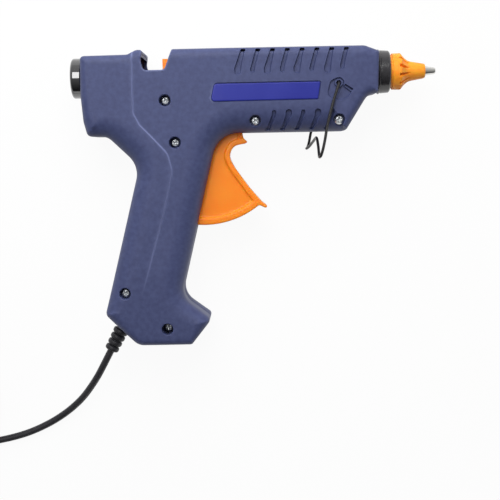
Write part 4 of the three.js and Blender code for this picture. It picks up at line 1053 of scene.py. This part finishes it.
# %% [markdown]
# ## Screws
# Six thread-forming screws hold the halves. Their pan heads have a cross recess, pressed cold into
# plated steel, and its four walls throw the light about. A head is a polar grid: height depends on
# the distance from the axis, minus two crossed troughs. The shank below carries a thread.

# %% Screws
SCREW_HEAD, SCREW_TOP, SCREW_SEAT, SCREW_TIP = 2.7, 34.7, 32.8, 12.8
SCREW_SIDES, SHANK, THREAD_PITCH = 64, 1.5, 0.6


def screw(name, node, x, y, sunk, turn):
    """Head: z = top - dome(r) - cross(u, v). Shank: a saw-toothed profile turned."""
    angle = angles(SCREW_SIDES)
    r = np.array([0.02, *np.linspace(0.15, 2.45, 17), 2.6, 2.68, SCREW_HEAD])[:, None]
    u, v = np.moveaxis(abs(polar(r, angle - turn)), -1, 0)
    along, across = np.maximum(u, v), np.minimum(u, v)
    cross = blend((0.5 - across) / 0.3) * blend((1.8 - along) / 0.4) * (1.0 - 0.25 * along)
    dome = 0.35 * (r / SCREW_HEAD) ** 2 + 1.15 * blend((r - 1.75) / 0.95)
    below = [(SCREW_SEAT + 0.3, SCREW_HEAD), (SCREW_SEAT, SCREW_HEAD - 0.15), (SCREW_SEAT, SHANK)]
    for crest in np.arange(SCREW_SEAT - 1, SCREW_TIP + 1.5, -THREAD_PITCH):
        below += [(crest, SHANK), (crest - THREAD_PITCH / 2, SHANK - 0.3)]
    below = np.array(below + [(SCREW_TIP + 0.4, 0.7), (SCREW_TIP, 0.05)])
    rows = polar(np.vstack([r, below[:, 1:]]), angle) + (x, y)
    head, shank = SCREW_TOP - dome - np.maximum(cross, 0), np.repeat(below[:, :1], SCREW_SIDES, 1)
    points = np.dstack([rows, np.vstack([head, shank]) - sunk]).reshape(-1, 3)
    made = add_piece(name, points, tube_faces(len(rows), SCREW_SIDES), "housing", "steel", sharp=28)
    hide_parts(node)
    return made


screws = [screw(f"cross_screw_{i + 1}", f"housing_screw_{i + 1}", x, y, sunk, turn)
          for i, ((x, y), sunk, turn) in enumerate(zip(SCREWS, SUNK, (0.3, 1.1, 0.55, 0.1, 0.8, 1.35)))]

# %% [markdown]
# ## Strain relief
# The boot where the cord leaves the grip is ribbed, so that it bends in a long curve. Its ribs are
# rounded discs that get smaller to the end. The profile is a smooth line through the tops of the
# ribs and the bottoms between them, turned about the boot's own axis.

# %% Strain relief
RIBS = 4.5 + 3.6 * np.arange(4)              # how far the ribs' middles are along the boot
rib_rows = []
for middle, top in zip(RIBS, 4.4 - 0.12 * np.arange(4)):
    rib_rows += [(middle - 1.6, top - 1.15), (middle - 1.1, top - 0.25), (middle, top),
                 (middle + 1.1, top - 0.25)]
outside = smooth_line([(0.2, 3.1), (1.8, 3.15), *rib_rows, (RIBS[-1] + 1.7, 2.75)], 96)
boot_profile = np.vstack([
    [(-8, 2.3), (-8, 4.8), (-7.8, 5), (-6, 5), (-5.8, 4.8), (-5.8, 3.1)], outside,
    [(RIBS[-1] + 1.8, 2.3)]])
boot = turned("boot_moulding", boot_profile, "housing", "pvc_black", sides=64,
              at=(*BOOT_AT, HALF), towards=BOOT_ALONG, sharp=45)
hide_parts("strain_relief")

# %% [markdown]
# ## Materials
# A material starts from what the real one is, and how its surface was made. One helper turns a
# colour as it is written on a chart into the linear values that light is reckoned in, and one adds
# a node. Most of the gun's materials are made in one way: soft clouds in the colour and in the
# roughness, with a fine grain as a bump. All patterns read object coordinates in metres, so a noise
# scale of 1 / size gives a pattern of that size.

# %% Material helpers
def colour(hexed):
    """sRGB hex to linear: c / 12.92 below 0.04045, else ((c + 0.055) / 1.055) ** 2.4."""
    parts = [int(hexed[i:i + 2], 16) / 255 for i in (1, 3, 5)]
    return [p / 12.92 if p <= 0.04045 else ((p + 0.055) / 1.055) ** 2.4 for p in parts] + [1.0]


def add_node(tree, kind, inputs=None, **settings):
    """A node with its settings; an input is a value, or an output socket to link from."""
    made = tree.nodes.new(kind)
    for key, value in settings.items():
        setattr(made, key, value)
    for key, value in (inputs or {}).items():
        if isinstance(value, bpy.types.NodeSocket):
            tree.links.new(value, made.inputs[key])
        else:
            made.inputs[key].default_value = value
    return made


def new_material(name):
    """An empty material, its tree, and its object coordinates."""
    made = bpy.data.materials.new(name)
    made.use_nodes = True
    made.node_tree.nodes.clear()
    place = add_node(made.node_tree, "ShaderNodeTexCoord")
    return made, made.node_tree, place.outputs["Object"]


def surface(tree, inputs):
    """A principled shader on the material's output."""
    shader = add_node(tree, "ShaderNodeBsdfPrincipled", inputs)
    add_node(tree, "ShaderNodeOutputMaterial", {"Surface": shader.outputs[0]})


def mottled(tree, place, size, first, second, detail=3.0):
    """Noise of a size in millimetres that runs between two colours."""
    noise = add_node(
        tree, "ShaderNodeTexNoise", {"Vector": place, "Scale": 1000 / size, "Detail": detail})
    ramp = add_node(tree, "ShaderNodeValToRGB", {"Fac": noise.outputs["Fac"]})
    ramp.color_ramp.elements[0].position, ramp.color_ramp.elements[1].position = 0.32, 0.68
    ramp.color_ramp.elements[0].color, ramp.color_ramp.elements[1].color = colour(first), colour(second)
    return ramp.outputs["Color"], noise.outputs["Fac"]


def ranged(tree, value, low, high):
    """A value from 0 to 1 moved into a range, for a roughness that varies."""
    moved = add_node(tree, "ShaderNodeMapRange", {"Value": value, "To Min": low, "To Max": high})
    return moved.outputs["Result"]


def grained(tree, place, size, depth, strength):
    """A bump of a grain size and a depth in millimetres."""
    grain = add_node(tree, "ShaderNodeTexNoise", {"Vector": place, "Scale": 1000 / size})
    return add_node(tree, "ShaderNodeBump", {
        "Height": grain.outputs["Fac"], "Distance": depth * MM, "Strength": strength}).outputs["Normal"]


def finish(name, clouds, rough, grain=None, **inputs):
    """A material from its clouds (size, two colours, detail), the range of its roughness and its
    grain (size, depth, strength), with the shader's other inputs in words joined by underscores."""
    made, tree, place = new_material(name)
    tint, cloud = mottled(tree, place, *clouds)
    sockets = {key.replace("_", " "): value for key, value in inputs.items()}
    if grain:
        sockets["Normal"] = grained(tree, place, *grain)
    surface(tree, {"Base Color": tint, "Roughness": ranged(tree, cloud, *rough), **sockets})
    return made

# %% [markdown]
# ### Housing: navy ABS
# The mould was eroded by sparks, which leaves a fine, even grain of about a third of a millimetre.
# The eye gets a soft, greyish sheen with no sharp reflections. The grain is drawn at 0.9 mm, because
# the true one is too fine to show. Faint clouds stand for uneven gloss from handling. Thin paler lines
# along the step, the window's rim and the label bed's end are painted highlights, which the mesh tells
# through its own attribute.

# %% Housing plastic
housing_abs, tree, place = new_material("navy_abs_spark_textured")
tint, clouds = mottled(tree, place, 2.5, "#383f66", "#424a72", 6.0)
# painted highlight: the marked edges are mixed towards a paler blue
painted_edge_highlight = add_node(tree, "ShaderNodeAttribute", attribute_name="painted_edge_highlight")
tint = add_node(tree, "ShaderNodeMixRGB", {
    "Fac": painted_edge_highlight.outputs["Fac"], "Color1": tint, "Color2": colour("#666e97")})
surface(tree, {
    "Base Color": tint.outputs["Color"], "Roughness": ranged(tree, clouds, 0.46, 0.58), "IOR": 1.53,
    "Normal": grained(tree, place, 0.9, 0.05, 0.6)})

# %% [markdown]
# ### Trigger and carriage: orange polypropylene
# Polypropylene is a little translucent and takes a polished mould well, so light goes a short way in
# and the colour glows on thin edges. Faint flow marks run through it.

# %% Orange plastic
GLOWING_ORANGE = (1.0, 0.3, 0.05)         # how far red, green and blue go in, as shares
orange_pp = finish(
    "orange_polypropylene", (14, "#ff8a1c", "#ff9122", 2.0), (0.3, 0.4), (3.0, 0.02, 0.3), IOR=1.42,
    Subsurface_Weight=0.5, Subsurface_Radius=GLOWING_ORANGE, Subsurface_Scale=0.002)

# %% [markdown]
# ### Black plastics
# The inlet ring is polished, so it mirrors the lamp as a bright patch with hard edges. The collar and
# the clamp are glass-filled nylon, which stays satin and slightly grey. The cord, the boot and the
# plug are soft PVC, with a dull sheen and a fine leathery grain.

# %% Black plastics
gloss_black = finish(
    "polished_black_abs", (6, "#121214", "#17171a"), (0.1, 0.15), (4, 0.01, 0.2), IOR=1.53,
    Coat_Weight=1.0, Coat_IOR=1.95, Coat_Roughness=0.03)
satin_black = finish(
    "glass_filled_nylon_black", (2.2, "#242326", "#2c2b2e", 5.0), (0.17, 0.23), (0.6, 0.03, 0.5),
    IOR=1.65)
pvc_black = finish("soft_pvc_black", (3, "#1f1e22", "#28272c"), (0.4, 0.52), (0.5, 0.02, 0.5), IOR=1.52)

# %% [markdown]
# ### Label film
# Printed polyester film under matt varnish: a deep, even blue, with a soft highlight on top. The
# varnish has the faint orange-peel ripple of a few millimetres that such films have.

# %% Label film
label_film = finish(
    "varnished_blue_polyester_film", (18, "#1c2488", "#222a8e", 1.0), (0.34, 0.44), (2.5, 0.006, 0.3),
    IOR=1.5)

# %% [markdown]
# ### Silicone
# Silicone rubber is cast in a blasted mould. It is matt and lets light in deeply, so shadows on it
# are warm and soft. The orange sleeve is the bright one, and the grey inlet sleeve lies inside.

# %% Silicone
silicone_orange = finish(
    "orange_silicone_rubber", (5, "#ff9824", "#ffa42e"), (0.42, 0.52), (0.5, 0.02, 0.4), IOR=1.43,
    Subsurface_Weight=0.3, Subsurface_Radius=GLOWING_ORANGE, Subsurface_Scale=0.0015)
silicone_grey = finish(
    "grey_silicone_rubber", (4, "#77777a", "#828285"), (0.5, 0.62), IOR=1.43,
    Subsurface_Weight=0.1, Subsurface_Radius=(1.0, 0.9, 0.8), Subsurface_Scale=0.001)

# %% [markdown]
# ### Metals
# The nozzle is nickel-plated brass, turned and nearly mirror bright, with faint lathe rings. The
# screws and the pins are zinc-plated steel, satin and a little cloudy. The melt chamber is die-cast
# aluminium, grey and pebbled. A metal takes its whole look from what it mirrors.

# %% Metals
LATHE_RING = 0.7
nickel, tree, place = new_material("turned_nickel_plated_brass")
rings = add_node(tree, "ShaderNodeTexWave", {
    "Vector": place, "Scale": 1000 / LATHE_RING / 6.28, "Distortion": 0.3},
    wave_type="BANDS", bands_direction="X")
lathe = add_node(tree, "ShaderNodeBump", {
    "Height": rings.outputs["Fac"], "Distance": 0.004 * MM, "Strength": 0.5})
surface(tree, {
    "Base Color": colour("#e0dfdb"), "Metallic": 1.0,
    "Roughness": ranged(tree, rings.outputs["Fac"], 0.1, 0.17), "Normal": lathe.outputs["Normal"]})

zinc_steel = finish(
    "zinc_plated_steel", (1.2, "#c4c8cc", "#dfe2e4"), (0.32, 0.45), (0.5, 0.01, 0.3), Metallic=1.0)
cast_aluminium = finish(
    "die_cast_aluminium", (3, "#9b9c9e", "#adaeb0"), (0.38, 0.5), (0.9, 0.04, 0.5), Metallic=1.0)

# %% [markdown]
# ### Wire, pins and small parts
# The stand is spring wire dipped in black lacquer, smooth enough for a thin line of light along it.
# The plug's pins are plated where they make contact and have black sleeves near the moulding, which
# a step along their length tells apart. The heater is white alumina, and one core is blue.

# %% Wire, pins, ceramic and core
black_wire = finish(
    "lacquered_spring_wire", (1.5, "#161517", "#201e20"), (0.26, 0.36), IOR=1.5,
    Coat_Weight=0.3, Coat_Roughness=0.2)
alumina = finish(
    "white_alumina_ceramic", (1.5, "#e0dbd0", "#eee9df"), (0.55, 0.7), (0.3, 0.02, 0.4), IOR=1.76)
pvc_blue = finish(
    "blue_pvc_insulation", (2, "#2a5fb0", "#3068ba"), (0.36, 0.46), (0.5, 0.01, 0.4), IOR=1.52)

SLEEVE_END = -100.6                # the sleeves reach this far along Y, the metal begins beyond it
sleeved_pin, tree, place = new_material("nickel_pin_with_sleeve")
split = add_node(tree, "ShaderNodeSeparateXYZ", {"Vector": place})
metal = add_node(tree, "ShaderNodeMath", {
    0: split.outputs["Y"], 1: SLEEVE_END * MM}, operation="GREATER_THAN").outputs[0]
shade = add_node(tree, "ShaderNodeMixRGB", {
    "Fac": metal, "Color1": colour("#1b1b1e"), "Color2": colour("#cfcdc6")})
surface(tree, {
    "Base Color": shade.outputs["Color"], "Metallic": metal,
    "Roughness": ranged(tree, metal, 0.45, 0.22), "Normal": grained(tree, place, 0.8, 0.01, 0.3)})

# %% Each piece gets its material
finishes = {
    housing_abs: [shell_near, shell_far],
    orange_pp: [trigger, "feed_carriage", "feed_claw"],
    gloss_black: [inlet_ring],
    satin_black: [collar, coil_tie, "stick_guide", "cord_clamp"],
    pvc_black: [cord, plug, boot, "lead_live"],
    label_film: [label],
    silicone_orange: [sleeve],
    silicone_grey: ["inlet_sleeve"],
    nickel: [nozzle],
    zinc_steel: [*screws, spring, "claw_pin", "trigger_pin", "clamp_screw_1", "clamp_screw_2"],
    cast_aluminium: ["melt_chamber"],
    black_wire: [stand],
    sleeved_pin: ["plug_pin_1", "plug_pin_2"],
    pvc_blue: ["lead_neutral"],
}
finishes[alumina] = [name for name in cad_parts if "heat" in name]
finished = set()
for finish, pieces in finishes.items():
    for piece in pieces:
        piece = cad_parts[piece] if isinstance(piece, str) else piece
        piece.data.materials.clear()
        piece.data.materials.append(finish)
        finished.add(piece.name)
left = [name for name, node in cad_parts.items() if name not in finished and not node.hide_render]
print(len(finished), "pieces finished, CAD nodes still plain:", left)

# %% [markdown]
# ## Floor, lamp and sky
# A soft lamp nearly overhead lights the side face evenly, and a nearer one beyond the barrel's top
# lets the light fall off towards the foot. That one is left out of reflections, which keeps the
# plastic's colour deep. A small, weak one beyond the nose puts a line of light on the collar. The
# room is white near the horizon, like a curved studio wall, and dim above. The floor is white to
# the camera and keeps a faint shadow.

# %% Floor
floor_mesh = bpy.data.meshes.new("floor")
FLOOR_HALF = 4
floor_corners = [(x * FLOOR_HALF, y * FLOOR_HALF, 0) for x, y in ((-1, -1), (1, -1), (1, 1), (-1, 1))]
floor_mesh.from_pydata(floor_corners, [], [(0, 1, 2, 3)])
floor = bpy.data.objects.new("floor", floor_mesh)
bpy.context.scene.collection.objects.link(floor)
paper, tree, place = new_material("white_paper_sweep")
tint, clouds = mottled(tree, place, 60, "#e9e9e9", "#ededed")
lit = add_node(tree, "ShaderNodeBsdfDiffuse", {"Color": tint})
glow = add_node(tree, "ShaderNodeEmission", {"Color": colour("#ffffff"), "Strength": 1.0})
dull = add_node(tree, "ShaderNodeBsdfDiffuse", {"Color": colour("#c8c8c8")})
seen = add_node(tree, "ShaderNodeLightPath")
straight = add_node(tree, "ShaderNodeMath", {
    0: seen.outputs["Is Camera Ray"], 1: seen.outputs["Is Glossy Ray"]}, operation="MAXIMUM")
straight = add_node(tree, "ShaderNodeMath", {
    0: straight.outputs[0], 1: seen.outputs["Is Transmission Ray"]}, operation="MAXIMUM")
bright = add_node(tree, "ShaderNodeMixShader", {0: 0.94, 1: lit.outputs[0], 2: glow.outputs[0]})
either = add_node(tree, "ShaderNodeMixShader", {
    0: straight.outputs[0], 1: dull.outputs[0], 2: bright.outputs[0]})
add_node(tree, "ShaderNodeOutputMaterial", {"Surface": either.outputs[0]})
floor_mesh.materials.append(paper)

# %% Lamps
LAMP_TARGET = Vector((0.01, -0.06, 0.02))


def add_softbox(name, place, wide, long, power, mirrored=True):
    """An area lamp that faces the gun, with or without its own reflection."""
    lamp = bpy.data.objects.new(name, bpy.data.lights.new(name, "AREA"))
    lamp.data.shape = "RECTANGLE"
    lamp.data.size, lamp.data.size_y, lamp.data.energy = wide, long, power
    away = (Vector(place) - LAMP_TARGET).normalized()
    lamp.matrix_world = facing(place, away, Vector((0, 1, 0)).cross(away).normalized())
    lamp.visible_glossy = mirrored
    bpy.context.scene.collection.objects.link(lamp)
    print(name, wide, "by", long, "m,", power, "W")


add_softbox("softbox_overhead", (-0.2, 0.26, 0.9), 0.2, 0.55, 1.85)
add_softbox("softbox_key", (-0.05, 0.32, 0.33), 0.4, 0.4, 2.25, mirrored=False)
add_softbox("softbox_nose", (0.21, 0.5, 0.81), 0.15, 0.25, 0.42)

# %% Sky
sky = bpy.data.worlds.new("pale_room")
bpy.context.scene.world = sky
sky.use_nodes = True
tree = sky.node_tree
tree.nodes.clear()
direction = add_node(tree, "ShaderNodeTexCoord")
split = add_node(tree, "ShaderNodeSeparateXYZ", {"Vector": direction.outputs["Generated"]})
ceiling = add_node(tree, "ShaderNodeMapRange", {
    "Value": split.outputs["Y"], "From Min": -1.0, "From Max": 1.0, "To Min": 0.0, "To Max": 0.72})
cove = add_node(tree, "ShaderNodeMapRange", {
    "Value": split.outputs["Z"], "From Min": 0.1, "From Max": 0.22, "To Min": 1.0, "To Max": 0.0})
strength = add_node(tree, "ShaderNodeMixRGB", {
    "Fac": cove.outputs[0], "Color1": ceiling.outputs[0], "Color2": (1, 1, 1, 1)})
back = add_node(tree, "ShaderNodeBackground", {"Color": strength.outputs["Color"], "Strength": 1.0})
add_node(tree, "ShaderNodeOutputWorld", {"Surface": back.outputs[0]})

# %% View transform
bpy.context.scene.view_settings.view_transform = "Standard"
bpy.context.view_layer.update()
